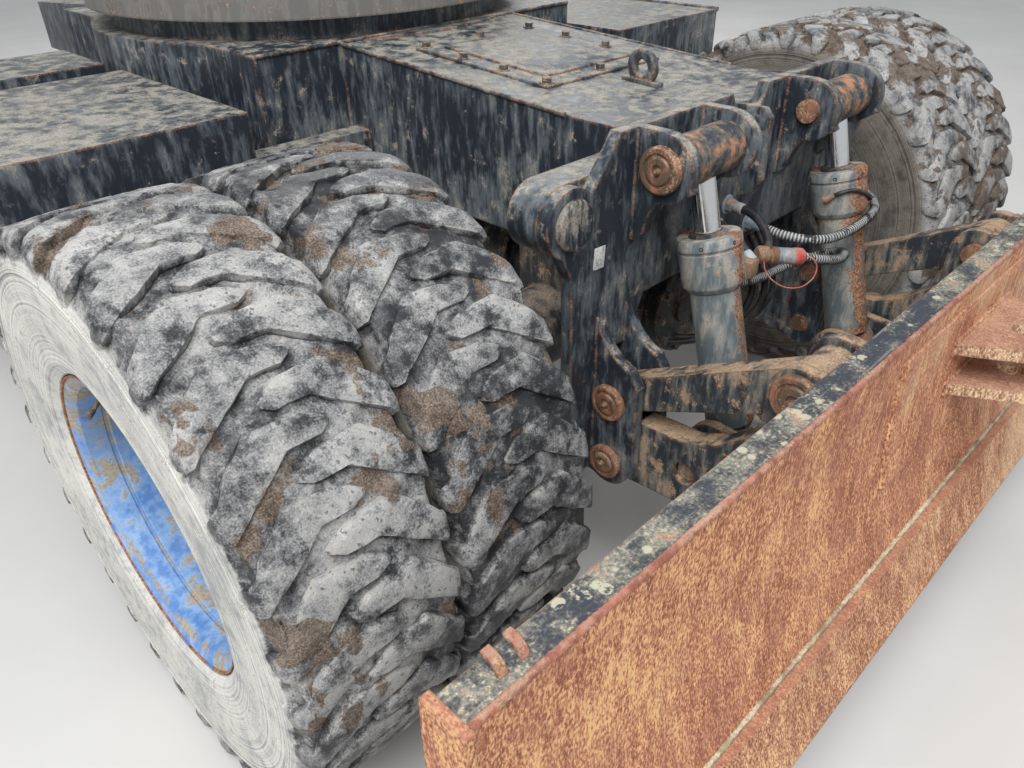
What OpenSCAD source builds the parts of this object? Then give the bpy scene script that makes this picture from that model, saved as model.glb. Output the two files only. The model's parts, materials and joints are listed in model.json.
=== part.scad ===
// Undercarriage of a wheeled excavator: welded chassis, slewing ring, rigid axle, oscillating
// steering axle, twin tyres, and a dozer blade on a parallel linkage with two cylinders.
// +X is to the right, +Y points to the steering axle, the blade is at -Y, +Z is up.
// The origin is on the ground, at the centre of the bounding box. Heights are above the ground,
// and "reach" is a distance from the blade-end axle towards the blade.

/* [Running gear] */
// Distance between the two axles
wheelbase = 2550; // [2500:10:2650]
// Tyre radius over the lug tips
tyre_r = 512; // [505:1:520]
// Width of one tyre
tyre_w = 283; // [276:1:286]
// Spacing of the two tyre centres of a twin wheel
twin_pitch = 289; // [288:1:296]
// Distance of the outer tyre's centre from the middle of the machine
outer_tyre_x = 1135; // [1130:1:1145]
// Number of lugs on each side of a tyre
lug_count = 32; // [24:2:40]
// Drop of the tread from its middle to the shoulder
crown_drop = 7.5; // [4:0.5:10]
// Depth of a groove where it opens at the shoulder
groove_depth = 22; // [16:1:26]
// Width of a groove at the shoulder, in pitches of the lugs
groove_share = 0.5; // [0.4:0.05:0.6]
// How far the grooves turn from the middle to the shoulder, in pitches of the lugs
groove_lean = 0.66; // [0.4:0.02:0.8]
// Distance of the grooves' tips from the tyre's middle
groove_tip_x = 12; // [8:1:20]
// Distance of the lugs' shoulder edges from the side wall
shoulder_inset = 10.5; // [8:0.5:14]
// Height of the lugs' outer ends, down the side wall
lug_end_h = 50; // [40:1:60]
// Radius of the rim's bead seat
rim_r = 254; // [250:1:258]
// Radius of the rim's flange
rim_flange_r = 274; // [270:1:280]
// How far the rim's flange leans out
flange_lean = 10.5; // [9:0.5:12]
// Thickness of the flange's lip
lip_t = 3.5; // [3:0.5:6]
// Height of the tyre's bulge over the rim's flange
bulge_h = 26; // [20:1:32]
// Width of the rim between its flanges
rim_w = 216; // [210:1:222]
// Thickness of the rim's barrel
rim_t = 10; // [8:0.5:12]
// Thickness of the wheel's disc
disc_t = 16; // [12:1:20]

/* [Axles] */
// Radius of the axle tubes
axle_tube_r = 92; // [80:1:100]
// Radius of the differential housing
diff_r = 185; // [170:1:195]
// Radius of the brake housings
brake_r = 142; // [130:1:150]
// Length of the brake housings
brake_len = 120; // [100:5:140]
// Radius of the planetary hubs
hub_r = 130; // [120:1:140]
// Length of the planetary hubs outside the disc
hub_len = 190; // [160:5:210]
// Radius of the hub's cover
hub_cover_r = 90; // [80:1:100]
// Thickness of the hub's cover
hub_cover_t = 30; // [20:1:40]
// Radius of the wheel spindles
spindle_r = 62; // [55:1:70]
// Length of the wheel spindles past the hub's face
spindle_len = 230; // [200:5:240]
// Radius of the pinion housing
pinion_r = 105; // [95:1:115]
// Length of the pinion housing
pinion_len = 300; // [280:5:320]
// Width of the pads between the rigid axle and the frame
pad_w = 130; // [100:5:150]
// Length of the pads between the rigid axle and the frame
pad_len = 180; // [140:5:200]
// Distance of the kingpins from the middle of the machine
kingpin_x = 600; // [590:1:610]
// Radius of the kingpins
kingpin_r = 24; // [20:1:28]
// Radius of the knuckle round the kingpin
knuckle_r = 60; // [54:1:66]
// Height of the knuckle between the fork's plates
knuckle_h = 208; // [190:2:220]
// Thickness of the fork's plates
fork_t = 30; // [24:1:36]
// Radius of the steering axle's trunnions
trunnion_r = 55; // [50:1:60]
// Distance of the trunnion plates' inner faces from the steering axle
trunnion_reach = 270; // [250:5:290]
// Thickness of the trunnion plates
trunnion_plate_t = 30; // [24:1:36]

/* [Drive] */
// Radius of the gearbox round the shaft
gearbox_r = 130; // [115:1:140]
// Length of the gearbox
gearbox_len = 190; // [160:5:220]
// Radius of the travel motor
motor_r = 65; // [58:1:72]
// Length of the travel motor
motor_len = 330; // [300:5:350]
// Offset of the travel motor from the shaft, sideways
motor_side = 105; // [95:1:115]
// Offset of the travel motor from the shaft, upwards
motor_rise = 75; // [65:1:80]
// Radius of the drive shaft
shaft_r = 38; // [32:1:42]
// Radius of the drive shaft's yokes
yoke_r = 58; // [52:1:62]
// Length of the drive shaft's yokes
yoke_len = 70; // [60:5:80]

/* [Steering] */
// Distance of the steering cylinder behind the axle
steer_cyl_y = 215; // [210:1:220]
// Height of the steering cylinder above the axle
steer_cyl_z = 100; // [95:1:105]
// Radius of the steering cylinder
steer_barrel_r = 34; // [30:1:36]
// Length of the steering cylinder
steer_barrel_len = 340; // [320:5:360]
// Size of the steering cylinder's block
steer_block = 72; // [70:1:74]
// Length of the steering cylinder's block
steer_block_len = 140; // [120:5:160]
// Radius of the steering rods
steer_rod_r = 20; // [16:1:22]
// Radius of the steering rods' eyes
steer_eye_r = 30; // [26:1:34]
// Offset of the steering arm's eye, inwards
steer_arm_in = 60; // [50:1:70]
// Thickness of the steering arms
steer_arm_t = 30; // [24:1:32]

/* [Chassis] */
// Height of the deck's top face
deck_z = 1050; // [1040:1:1070]
// Depth of the centre box
deck_depth = 330; // [310:5:340]
// Half width of the longitudinal beams
beam_half_w = 300; // [280:5:320]
// Thickness of the frame's plates
frame_plate = 20; // [16:1:25]
// Radius of the centre box
centre_r = 640; // [620:5:660]
// Length of the centre box
centre_len = 1180; // [1100:10:1240]
// Width of the centre box
centre_w = 1088; // [1040:8:1120]
// Gap between the differential and the frame above it
axle_gap = 18; // [10:1:25]
// Height of the beams' top at the frame's ends
end_top_z = 1000; // [980:5:1020]
// Height of the beam's underside above the steering axle
steer_seat_z = 780; // [770:5:800]
// Length of the beam past the steering axle
steer_end = 360; // [340:5:400]
// Size of the square rails that carry the toolboxes and steps
rail = 60; // [50:1:70]
// Height of the rails' underside
rail_z = 790; // [780:5:800]

/* [Slewing ring] */
// Outer radius of the ring
ring_r = 640; // [620:1:660]
// Width of the outer ring's section
outer_ring_w = 60; // [56:1:64]
// Width of the inner ring's section
inner_ring_w = 58; // [54:1:62]
// Height of the slewing ring
ring_h = 92; // [80:1:110]
// Height of the ring's seat above the deck
ring_seat = 48; // [40:1:60]
// Step between the two rings, at their lower and upper faces
ring_step = 4; // [3:0.5:6]
// Distance of the bolt circle from the ring's outside
bolt_inset = 28; // [26:1:30]
// Radius of the bolt holes of the slewing ring
ring_hole_r = 11; // [9:0.5:12]
// Number of bolts on the outer ring
ring_bolts = 30; // [24:1:36]
// Number of teeth inside the inner ring
gear_teeth = 96; // [84:1:108]
// Height of the teeth
tooth_h = 20; // [16:1:22]
// Radius of the swivel joint
swivel_r = 95; // [85:1:105]
// Height of the swivel joint's body
swivel_h = 300; // [280:5:320]
// Radius of the swivel joint's flange
swivel_flange_r = 149; // [140:1:155]
// Thickness of the swivel joint's flange
swivel_flange_t = 40; // [30:1:45]

/* [Blade] */
// Width of the blade
blade_w = 2534; // [2500:2:2560]
// Reach of the blade's top edge
blade_top_reach = 808; // [800:1:820]
// Height of the blade's top edge
blade_top_z = 811; // [800:1:820]
// Reach of the cutting edge
blade_low_reach = 896; // [890:1:905]
// Height of the cutting edge
blade_low_z = 261; // [250:1:270]
// Hollow of the blade's face, measured from its chord
blade_hollow = 30; // [20:1:40]
// Thickness of the blade's face plate
face_t = 15; // [12:1:18]
// Depth of the blade's top flange
flange_depth = 46; // [40:1:50]
// Height of the blade's top flange
flange_h = 40; // [34:1:44]
// Height of the middle of the blade's lower stiffener
stiffener_z = 375; // [365:1:385]
// Height of the blade's lower stiffener
stiffener_h = 90; // [80:1:100]
// Depth of the blade's lower stiffener
stiffener_depth = 60; // [50:1:70]
// Thickness of the ribs on the blade's back
rib_t = 16; // [12:1:20]
// Depth of the ribs on the blade's back
rib_depth = 34; // [28:1:40]
// Thickness of the end plates
end_t = 12; // [10:1:15]
// How far the end plates stand proud of the face and the top
end_proud = 12; // [8:1:14]
// Height of the bolted cutting edge
edge_h = 120; // [100:1:140]
// Thickness of the bolted cutting edge
edge_t = 20; // [16:1:25]
// Half width of the doubler plate behind the clevis
doubler_half_w = 350; // [330:5:370]
// Height of the doubler plate's lower edge
doubler_low_z = 530; // [520:1:545]
// Height of the doubler plate's upper edge
doubler_high_z = 766; // [755:1:775]
// Thickness of the doubler plate
doubler_t = 8; // [6:1:10]
// Reach of the towing clevis
clevis_reach = 950; // [940:5:970]
// Width of the clevis plates at the blade
clevis_w = 264; // [250:2:300]
// Width of the clevis plates at their tips
clevis_tip_w = 120; // [110:2:130]
// Thickness of the clevis plates
clevis_t = 22; // [18:1:25]
// Height of the lower clevis plate's underside
clevis_z = 610; // [600:1:620]
// Spacing of the two clevis plates
clevis_pitch = 80; // [70:1:86]
// Radius of the bore in the clevis
clevis_bore_r = 22; // [18:1:26]
// Distance of the clevis bore from the tips
clevis_bore_inset = 64; // [60:1:70]

/* [Linkage] */
// Thickness of the ears, cheeks and lugs
ear_t = 24; // [20:1:25]
// Reach of the two pivots on the bracket
pivot_reach = 331; // [328:1:334]
// Height of the upper pivot on the bracket
upper_pivot_z = 525; // [522:1:530]
// Height of the lower pivot on the bracket
lower_pivot_z = 380; // [376:1:383]
// Reach of the pivots on the blade
blade_pivot_reach = 698; // [694:1:702]
// Height of the upper pivot on the blade
blade_pivot_z = 702; // [698:1:706]
// Distance of the links' middle from the middle of the machine
link_x = 402; // [400:1:404]
// Thickness of the links and arms
link_t = 52; // [46:1:56]
// Height of the links
link_h = 86; // [80:1:90]
// Radius of the linkage pins
pin_r = 24; // [20:1:26]
// Radius of the pins' heads
pin_head_r = 36; // [32:1:38]
// Thickness of the pins' heads
pin_head_t = 12; // [8:1:14]
// Radius of the ears, lugs and eyes round the pins
eye_r = 52; // [48:1:54]
// Distance of the blade's inner ears from the middle of the machine
inner_ear_x = 300; // [298:1:306]
// Distance of the beam between the lower arms from the cylinders' lower pins
beam_ahead = 109; // [100:1:116]
// Height of the beam between the lower arms
beam_z = 420; // [415:1:425]
// Length of the beam's section
beam_len = 80; // [70:1:90]
// Height of the beam's section
beam_h = 90; // [80:1:100]

/* [Bracket] */
// Reach of the bracket's front plate
plate_reach = 290; // [286:1:292]
// Thickness of the bracket's front plate
plate_t = 25; // [20:1:28]
// Height of the front plate's top edge
plate_top_z = 1034; // [1024:1:1044]
// Half width of the front plate's top edge
plate_top_half_w = 415; // [405:1:425]
// Height of the cut-off corners of the front plate's top edge
plate_corner = 18; // [12:1:24]
// Height of the front plate's lower edge between the cheeks
plate_mid_z = 700; // [690:1:710]
// Distance of the hanger bosses from the middle of the machine
lobe_x = 536; // [530:1:542]
// Height of the hanger bosses
lobe_z = 905; // [898:1:912]
// Radius of the lobes round the hanger bosses
lobe_r = 62; // [56:1:66]
// Radius of the hanger bosses' pins
lobe_pin_r = 30; // [26:1:34]
// Radius of the hanger bosses' heads
lobe_head_r = 42; // [38:1:46]
// Depth of the cross beam that holds the hanger bosses
lobe_depth = 70; // [60:1:80]
// Reach of the cheeks' back
cheek_back = 200; // [195:1:210]
// Height of the cheeks' upper edge
cheek_top_z = 718; // [710:1:726]
// Height of the cheeks' lower edge
cheek_low_z = 345; // [335:1:350]

/* [Cylinders] */
// Distance of the cylinders from the middle of the machine
cyl_x = 258; // [256:1:260]
// Reach of the cylinder's upper pin
cyl_top_reach = 347; // [345:1:350]
// Height of the cylinder's upper pin
cyl_top_z = 971; // [968:1:975]
// Reach of the cylinder's lower pin
cyl_low_reach = 497; // [494:1:500]
// Height of the cylinder's lower pin
cyl_low_z = 418; // [415:1:421]
// Distance of the upper lugs' inner faces from the cylinder's middle
cyl_lug_gap = 87; // [85:1:90]
// Distance of the lower lugs' inner faces from the cylinder's middle
arm_lug_gap = 53; // [52:1:56]
// Radius of the cylinder's barrel
barrel_r = 48; // [44:1:52]
// Radius of the cylinder's head
gland_r = 59; // [56:1:60]
// Length of the cylinder's head
gland_len = 90; // [80:1:100]
// Distance from the cylinder's head to the upper pin
rod_out = 146; // [144:1:152]
// Radius of the piston rod
rod_r = 25; // [22:1:28]
// Radius of the cylinder's eyes
cyl_eye_r = 46; // [42:1:48]
// Width of the rod's eye
rod_eye_w = 164; // [158:2:166]
// Width of the barrel's eye
barrel_eye_w = 100; // [98:1:102]

/* [Toolboxes] */
// Room between the toolbox and the tyre
box_room = 43; // [35:1:50]
// Distance of the toolbox's end from the middle of the wheelbase
box_to_middle = 60; // [50:5:80]
// Height of the toolbox's underside
box_z = 540; // [530:5:560]
// Height of the toolbox
box_h = 430; // [380:10:450]
// Depth of the toolbox across the machine
box_d = 540; // [500:10:560]
// Chamfer on the toolbox's lower outer edge
box_chamfer = 80; // [60:5:90]
// Wall thickness of the toolbox
box_wall = 5; // [4:0.5:8]
// Thickness of the toolbox's door
door_t = 5; // [4:0.5:8]
// Radius of the door's hinge
hinge_r = 8; // [7:0.5:10]
// Length of the step
step_len = 300; // [280:10:340]
// Width of the step's tread
step_w = 200; // [180:5:220]
// Thickness of the step's treads
step_t = 30; // [25:1:35]
// Height of the lower step
step_z = 560; // [540:5:580]
// Thickness of the step's side plates
step_plate = 10; // [8:1:12]
// Width of the step's side plates
step_strap = 40; // [30:2:50]

/* [Hidden] */
$fn = 96;

// Running clearance of pins in bores and of faces that turn
gap = 0.3;
// Clearance between faces that slide past each other
side_gap = 5;
// How deep welded pieces reach into each other
weld = 2;

blade_axle_y = (clevis_reach - wheelbase - tyre_r) / 2;
steer_axle_y = blade_axle_y + wheelbase;
mid_y = blade_axle_y + wheelbase / 2;
inner_tyre_x = outer_tyre_x - twin_pitch;
wheel_inner_x = inner_tyre_x - tyre_w / 2;
hub_face_x = wheel_inner_x + side_gap;
disc_x = inner_tyre_x + tyre_w / 4;
side_x = centre_r + 2 * side_gap;

race_r = ring_r - outer_ring_w;
gear_root_r = race_r - inner_ring_w;
ring_bolt_r = ring_r - bolt_inset;
ring_z = deck_z + ring_seat;
well_r = gear_root_r - 1.5 * frame_plate;

gearbox_y = blade_axle_y + pinion_len;
shaft_y = gearbox_y + gearbox_len;
trunnion_end = trunnion_reach + trunnion_plate_t + 3 * side_gap;
box_len = wheelbase / 2 - tyre_r - box_room - box_to_middle;
box_y = mid_y - box_to_middle - box_len;

// Blade linkage, as points of the side view: [y from the blade axle, height]
pivot_a = [-pivot_reach, upper_pivot_z];
pivot_c = [-pivot_reach, lower_pivot_z];
pivot_b = [-blade_pivot_reach, blade_pivot_z];
pivot_d = pivot_b + pivot_c - pivot_a;
pin_t = [-cyl_top_reach, cyl_top_z];
pin_p = [-cyl_low_reach, cyl_low_z];
beam_p = [pin_p[0] - beam_ahead, beam_z];
cyl_len = norm(pin_t - pin_p);
cyl_lean = atan2(pin_t[0] - pin_p[0], pin_t[1] - pin_p[1]);
gland_top = cyl_len - rod_out;

// Across the machine, each pair holds the inner and the outer face
link_span = [link_x - link_t / 2, link_x + link_t / 2];
outer_cheek = [link_span[1] + side_gap, link_span[1] + side_gap + ear_t];
inner_cheek = [link_span[0] - side_gap - ear_t, link_span[0] - side_gap];
outer_lug = [cyl_x + cyl_lug_gap, cyl_x + cyl_lug_gap + ear_t];
inner_lug = [cyl_x - cyl_lug_gap - ear_t, cyl_x - cyl_lug_gap];
outer_disc = [cyl_x + arm_lug_gap, cyl_x + arm_lug_gap + ear_t];
inner_disc = [cyl_x - arm_lug_gap - ear_t, cyl_x - arm_lug_gap];
inner_ear = [inner_ear_x, inner_ear_x + ear_t];

// Blade face: an arc through the top edge and the cutting edge
face_top = [-blade_top_reach, blade_top_z];
face_low = [-blade_low_reach, blade_low_z];
face_chord = norm(face_top - face_low);
face_r = face_chord * face_chord / (8 * blade_hollow) + blade_hollow / 2;
face_dir = (face_top - face_low) / face_chord;
face_centre = (face_top + face_low) / 2 + (face_r - blade_hollow) * [-face_dir[1], face_dir[0]];

module at_blade_axle() translate([0, blade_axle_y, 0]) children();

module at_steer_axle() translate([0, steer_axle_y, 0]) children();

module both_sides() {
    children();
    mirror([1, 0, 0]) children();
}

// A plate across X between two faces, drawn in the side view
module side_plate(span) translate([span[0], 0, 0]) rotate([90, 0, 90]) linear_extrude(span[1] - span[0]) children();

// A plate drawn in the front view, with its back face at y = 0
module front_plate(t) rotate([90, 0, 0]) linear_extrude(t) children();

// A round bar along X between two faces, at a point of the side view
module cross_bar(span, r, p) translate([span[0], p[0], p[1]]) rotate([0, 90, 0]) cylinder(r = r, h = span[1] - span[0]);

// A round bar along Y, from y = 0
module long_bar(len, r) rotate([-90, 0, 0]) cylinder(r = r, h = len);

// Outline of a bar with round ends between two points; its sides run a hair inside the tangents
module pill(a, b, ra, rb) {
    d = norm(b - a);
    u = (b - a) / d;
    n = [-u[1], u[0]];
    s = (ra - rb) / d;
    c = sqrt(1 - s * s);
    qa = ra - gap;
    qb = rb - gap;
    translate(a) circle(r = ra);
    translate(b) circle(r = rb);
    polygon([
        a + qa * (s * u + c * n), b + qb * (s * u + c * n),
        b + qb * (s * u - c * n), a + qa * (s * u - c * n)
    ]);
}

// Rings of like points on one side of a tyre: [lugs per point, distance across, radius, pitches turned].
// In turn: tips of the grooves, ends of the lugs, floors of the grooves at the shoulder, starts of the
// lugs, side wall, the bulge over the rim's flange where the side is open, and the bead in the rim
function tyre_rings(open) = let (
    h = tyre_w / 2, shoulder_x = h - shoulder_inset, shoulder_r = tyre_r - crown_drop, bead_x = rim_w / 2 - gap,
    slack = 1 / cos(360 / lug_count), bulge_r = rim_flange_r + bulge_h,
    bulge_x = bead_x + flange_lean * (bulge_r - rim_r) / (rim_flange_r - rim_r)
) concat([
    [1, groove_tip_x, tyre_r, 0],
    [1, shoulder_x, shoulder_r, groove_lean - groove_share / 2],
    [1, h - weld, shoulder_r - groove_depth, groove_lean],
    [1, shoulder_x, shoulder_r, groove_lean + groove_share / 2],
    [1, h, shoulder_r - lug_end_h, groove_lean + 0.5]
], open ? [[2, bulge_x, bulge_r * slack, groove_lean + 0.5]] : [], [[2, bead_x, (rim_r + gap) * slack, groove_lean + 0.5]]);

// One tyre, its lugs in one piece with it; its open side is at +X and the side towards its twin at -X
module tyre() {
    half = lug_count / 2;
    sides = [tyre_rings(false), tyre_rings(true)];
    points = [
        for (s = [0, 1]) for (ring = sides[s]) for (k = [0 : lug_count / ring[0] - 1])
            let (turn = 360 / lug_count * (k * ring[0] + ring[3] + s / 2))
                [(2 * s - 1) * ring[1], -ring[2] * sin(turn), ring[2] * cos(turn)]
    ];
    // Number of a point by its side, its ring and its place in the ring
    function at(s, ring, k) = s * (5 * lug_count + half) + min(ring, 5) * lug_count + max(ring - 5, 0) * half
        + k % (ring < 5 ? lug_count : half);
    function facing(s, face) = s == 0 ? face : [for (i = [len(face) - 1 : -1 : 0]) face[i]];
    tread = [for (s = [0, 1]) for (k = [0 : lug_count - 1]) for (face = [
        [at(s, 0, k), at(s, 0, k + 1), at(s, 3, k)], [at(s, 0, k + 1), at(s, 1, k + 1), at(s, 3, k)],
        [at(s, 0, k), at(s, 2, k), at(s, 1, k)], [at(s, 0, k), at(s, 3, k), at(s, 2, k)],
        [at(s, 3, k), at(s, 1, k + 1), at(s, 4, k)], [at(s, 1, k + 1), at(s, 2, k + 1), at(s, 4, k)],
        [at(s, 2, k + 1), at(s, 4, k + 1), at(s, 4, k)], [at(s, 2, k), at(s, 3, k), at(s, 4, k)]
    ]) facing(s, face)];
    crown = [for (k = [0 : lug_count - 1]) for (face = [
        [at(1, 0, k), at(0, 0, k + 1), at(0, 0, k)], [at(1, 0, k), at(1, 0, k + 1), at(0, 0, k + 1)]
    ]) face];
    walls = [for (s = [0, 1]) for (k = [0 : half - 1]) for (face = [
        [at(s, 4, 2 * k), at(s, 4, 2 * k + 1), at(s, 5, k)], [at(s, 4, 2 * k + 1), at(s, 5, k + 1), at(s, 5, k)],
        [at(s, 4, 2 * k + 1), at(s, 4, 2 * k + 2), at(s, 5, k + 1)]
    ]) facing(s, face)];
    bead = [for (k = [0 : half - 1]) for (face = [
        [at(1, 6, k), at(1, 6, k + 1), at(1, 5, k + 1), at(1, 5, k)],
        [at(0, 5, k + 1), at(1, 6, k), at(0, 5, k)], [at(1, 6, k + 1), at(1, 6, k), at(0, 5, k + 1)]
    ]) face];
    polyhedron(points, concat(tread, crown, walls, bead));
}

module tyre_pair() color([0.16, 0.155, 0.15]) translate([0, 0, tyre_r]) {
    translate([outer_tyre_x, 0, 0]) tyre();
    translate([inner_tyre_x, 0, 0]) mirror([1, 0, 0]) tyre();
}

// Section of one rim: a barrel with a leaning flange at each edge
module rim_section() {
    w = rim_w / 2;
    lip = w + flange_lean;
    polygon([
        [rim_r - rim_t, -lip - lip_t], [rim_flange_r, -lip - lip_t], [rim_flange_r, -lip], [rim_r, -w],
        [rim_r, w], [rim_flange_r, lip], [rim_flange_r, lip + lip_t], [rim_r - rim_t, lip + lip_t]
    ]);
}

// Twin rims with their disc, the spacer between them and the planetary hub
module rim_pair() color([0.12, 0.3, 0.62]) translate([0, 0, tyre_r]) rotate([0, 90, 0]) difference() {
    union() {
        for (x = [inner_tyre_x, outer_tyre_x]) translate([0, 0, x]) rotate_extrude() rim_section();
        // Spacer ring, from rim to rim
        translate([0, 0, inner_tyre_x + rim_w / 2 - rim_t]) difference() {
            cylinder(r = rim_r - rim_t / 2, h = twin_pitch - rim_w + 2 * rim_t);
            translate([0, 0, -1]) cylinder(r = rim_r - 2 * rim_t, h = twin_pitch);
        }
        translate([0, 0, disc_x]) cylinder(r = rim_r - rim_t / 2, h = disc_t);
        translate([0, 0, hub_face_x + gap]) cylinder(r = brake_r, h = disc_x - hub_face_x);
        translate([0, 0, disc_x]) cylinder(r = hub_r, h = hub_len);
        translate([0, 0, disc_x + hub_len - weld]) cylinder(r = hub_cover_r, h = hub_cover_t);
    }
    translate([0, 0, wheel_inner_x]) cylinder(r = spindle_r + gap, h = spindle_len + 2 * side_gap);
}

// Side view of the longitudinal box beam, over both axles
module beam_outline() {
    front = blade_axle_y - plate_reach + plate_t;
    box_start = mid_y - centre_len / 2 + frame_plate;
    box_end = mid_y + centre_len / 2 - frame_plate;
    low_z = tyre_r + diff_r + axle_gap;
    polygon([
        [front, low_z + 2 * frame_plate], [blade_axle_y - pad_len, low_z], [blade_axle_y + pad_len, low_z],
        [box_start, deck_z - deck_depth + weld], [box_end, deck_z - deck_depth + weld],
        [steer_axle_y - trunnion_reach - 3 * trunnion_plate_t, steer_seat_z], [steer_axle_y + steer_end, steer_seat_z],
        [steer_axle_y + steer_end, end_top_z - 2 * frame_plate], [steer_axle_y - trunnion_reach, end_top_z],
        [box_end, deck_z - weld], [box_start, deck_z - weld], [blade_axle_y - pad_len / 2, end_top_z],
        [front, end_top_z]
    ]);
}

module chassis_frame() color([0.1, 0.11, 0.13]) union() {
    difference() {
        union() {
            translate([0, mid_y, deck_z - deck_depth]) linear_extrude(deck_depth) {
                circle(r = centre_r);
                square([centre_w, centre_len], center = true);
            }
            side_plate([-beam_half_w, beam_half_w]) beam_outline();
            // Seat of the slewing ring
            translate([0, mid_y, deck_z - weld]) cylinder(r = race_r - ring_step, h = ring_seat + weld);
        }
        translate([0, mid_y, 0]) cylinder(r = well_r, h = 2 * deck_z);
    }
    // Floor under the swivel joint
    translate([0, mid_y, deck_z - deck_depth]) difference() {
        cylinder(r = well_r + weld, h = frame_plate);
        translate([0, 0, -weld]) cylinder(r = swivel_flange_r + gap, h = frame_plate + 2 * weld);
    }
    // Rails that carry the toolboxes and the steps, by their place along the machine
    both_sides() {
        translate([beam_half_w - weld, box_y + box_len / 12, rail_z]) cube([side_x - beam_half_w + weld, rail, rail]);
        for (y = [box_y + box_len * 0.7, mid_y + rail, mid_y + step_len])
            translate([centre_w / 2 - weld, y, rail_z]) cube([side_x - centre_w / 2 + weld, rail, rail]);
    }
    // Cross beam with the lobes that carry the blade bracket
    translate([0, blade_axle_y - plate_reach + plate_t + lobe_depth, 0]) front_plate(lobe_depth) difference() {
        pill([-lobe_x, lobe_z], [lobe_x, lobe_z], lobe_r, lobe_r);
        for (s = [-1, 1]) translate([s * lobe_x, lobe_z]) circle(r = lobe_pin_r + gap);
    }
    // Plates that hold the steering axle's trunnions
    for (y = [-trunnion_reach, trunnion_reach + trunnion_plate_t])
        translate([0, steer_axle_y + y, 0]) front_plate(trunnion_plate_t) difference() {
            union() {
                pill([0, tyre_r], [0, steer_seat_z], 2 * trunnion_r, 3 * trunnion_r);
                translate([-beam_half_w + frame_plate, steer_seat_z - frame_plate])
                    square([2 * (beam_half_w - frame_plate), 2 * frame_plate]);
            }
            translate([0, tyre_r]) circle(r = trunnion_r + gap);
        }
}

// Outline of the space inside the toothed ring, by [place in the tooth's pitch, share of its height]
module gear_outline() polygon([
    for (i = [0 : gear_teeth - 1]) for (p = [[0, 0], [0.45, 0], [0.6, 1], [0.85, 1]])
        let (turn = 360 / gear_teeth * (i + p[0])) (gear_root_r - p[1] * tooth_h) * [cos(turn), sin(turn)]
]);

module slew_inner_ring() color([0.35, 0.34, 0.32]) translate([0, mid_y, ring_z])
    linear_extrude(ring_h - ring_step) difference() {
        circle(r = race_r - gap);
        gear_outline();
    }

module slew_outer_ring() color([0.3, 0.29, 0.27]) translate([0, mid_y, ring_z + ring_step]) difference() {
    cylinder(r = ring_r, h = ring_h);
    translate([0, 0, -1]) cylinder(r = race_r, h = ring_h + 2);
    for (i = [0 : ring_bolts - 1]) rotate([0, 0, 360 / ring_bolts * i])
        translate([ring_bolt_r, 0, -1]) cylinder(r = ring_hole_r, h = ring_h + 2);
}

module swivel_joint() color([0.2, 0.2, 0.21]) translate([0, mid_y, deck_z - deck_depth]) {
    cylinder(r = swivel_flange_r, h = swivel_flange_t);
    translate([0, 0, swivel_flange_t - weld]) cylinder(r = swivel_r, h = swivel_h);
    translate([0, 0, swivel_flange_t + swivel_h - 2 * weld]) cylinder(r = 0.75 * swivel_r, h = 1.5 * swivel_flange_t);
    // Collars over the hose ports
    for (k = [0.25, 0.5, 0.75])
        translate([0, 0, swivel_flange_t + k * swivel_h]) cylinder(r = 1.1 * swivel_r, h = swivel_flange_t);
}

// Axle body, turned about X: tubes, differential housing and brake housings
module axle_body(half_len) rotate([0, 90, 0]) rotate_extrude() polygon([
    [0, -half_len], [brake_r, -half_len], [brake_r, -half_len + brake_len],
    [axle_tube_r, -half_len + 1.3 * brake_len], [axle_tube_r, -diff_r], [0.8 * diff_r, -0.62 * diff_r],
    [diff_r, -0.35 * diff_r], [diff_r, 0.35 * diff_r], [0.8 * diff_r, 0.62 * diff_r], [axle_tube_r, diff_r],
    [axle_tube_r, half_len - 1.3 * brake_len], [brake_r, half_len - brake_len], [brake_r, half_len], [0, half_len]
]);

module blade_axle() color([0.13, 0.14, 0.15]) at_blade_axle() translate([0, 0, tyre_r]) union() {
    axle_body(hub_face_x);
    both_sides() cross_bar([hub_face_x - weld, hub_face_x + spindle_len], spindle_r, [0, 0]);
    // Pads under the frame
    both_sides() translate([beam_half_w - frame_plate - pad_w, -pad_len / 2, 0]) cube([pad_w, pad_len, diff_r + axle_gap]);
    long_bar(pinion_len, pinion_r);
    // Front cover with its plug
    translate([0, -diff_r - side_gap, 0]) long_bar(diff_r, 0.62 * diff_r);
    translate([0, -diff_r - 3 * side_gap, 0]) long_bar(diff_r, shaft_r);
}

module gearbox() color([0.14, 0.14, 0.15]) translate([0, gearbox_y, tyre_r]) {
    translate([0, gearbox_len, 0]) front_plate(gearbox_len)
        pill([0, 0], [motor_side, motor_rise], gearbox_r, gearbox_r - frame_plate);
    translate([motor_side, gearbox_len - weld, motor_rise]) long_bar(motor_len, motor_r);
    // Port block, clear of the shaft's yoke
    translate([motor_side, gearbox_len + 2 * yoke_len, motor_rise]) long_bar(motor_len / 6, motor_r + frame_plate / 2);
}

module drive_shaft() color([0.12, 0.12, 0.12]) translate([0, shaft_y, tyre_r]) {
    len = wheelbase - pinion_len - gearbox_len - trunnion_end - gap;
    long_bar(len, shaft_r);
    for (y = [0, len - yoke_len]) translate([0, y, 0]) {
        long_bar(yoke_len / 4, yoke_r);
        translate([0, yoke_len * 0.75, 0]) long_bar(yoke_len / 4, yoke_r);
        translate([-yoke_r, yoke_len / 2, 0]) rotate([0, 90, 0]) cylinder(r = shaft_r / 2, h = 2 * yoke_r);
        translate([0, yoke_len / 2, -yoke_r]) cylinder(r = shaft_r / 2, h = 2 * yoke_r);
    }
}

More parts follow.
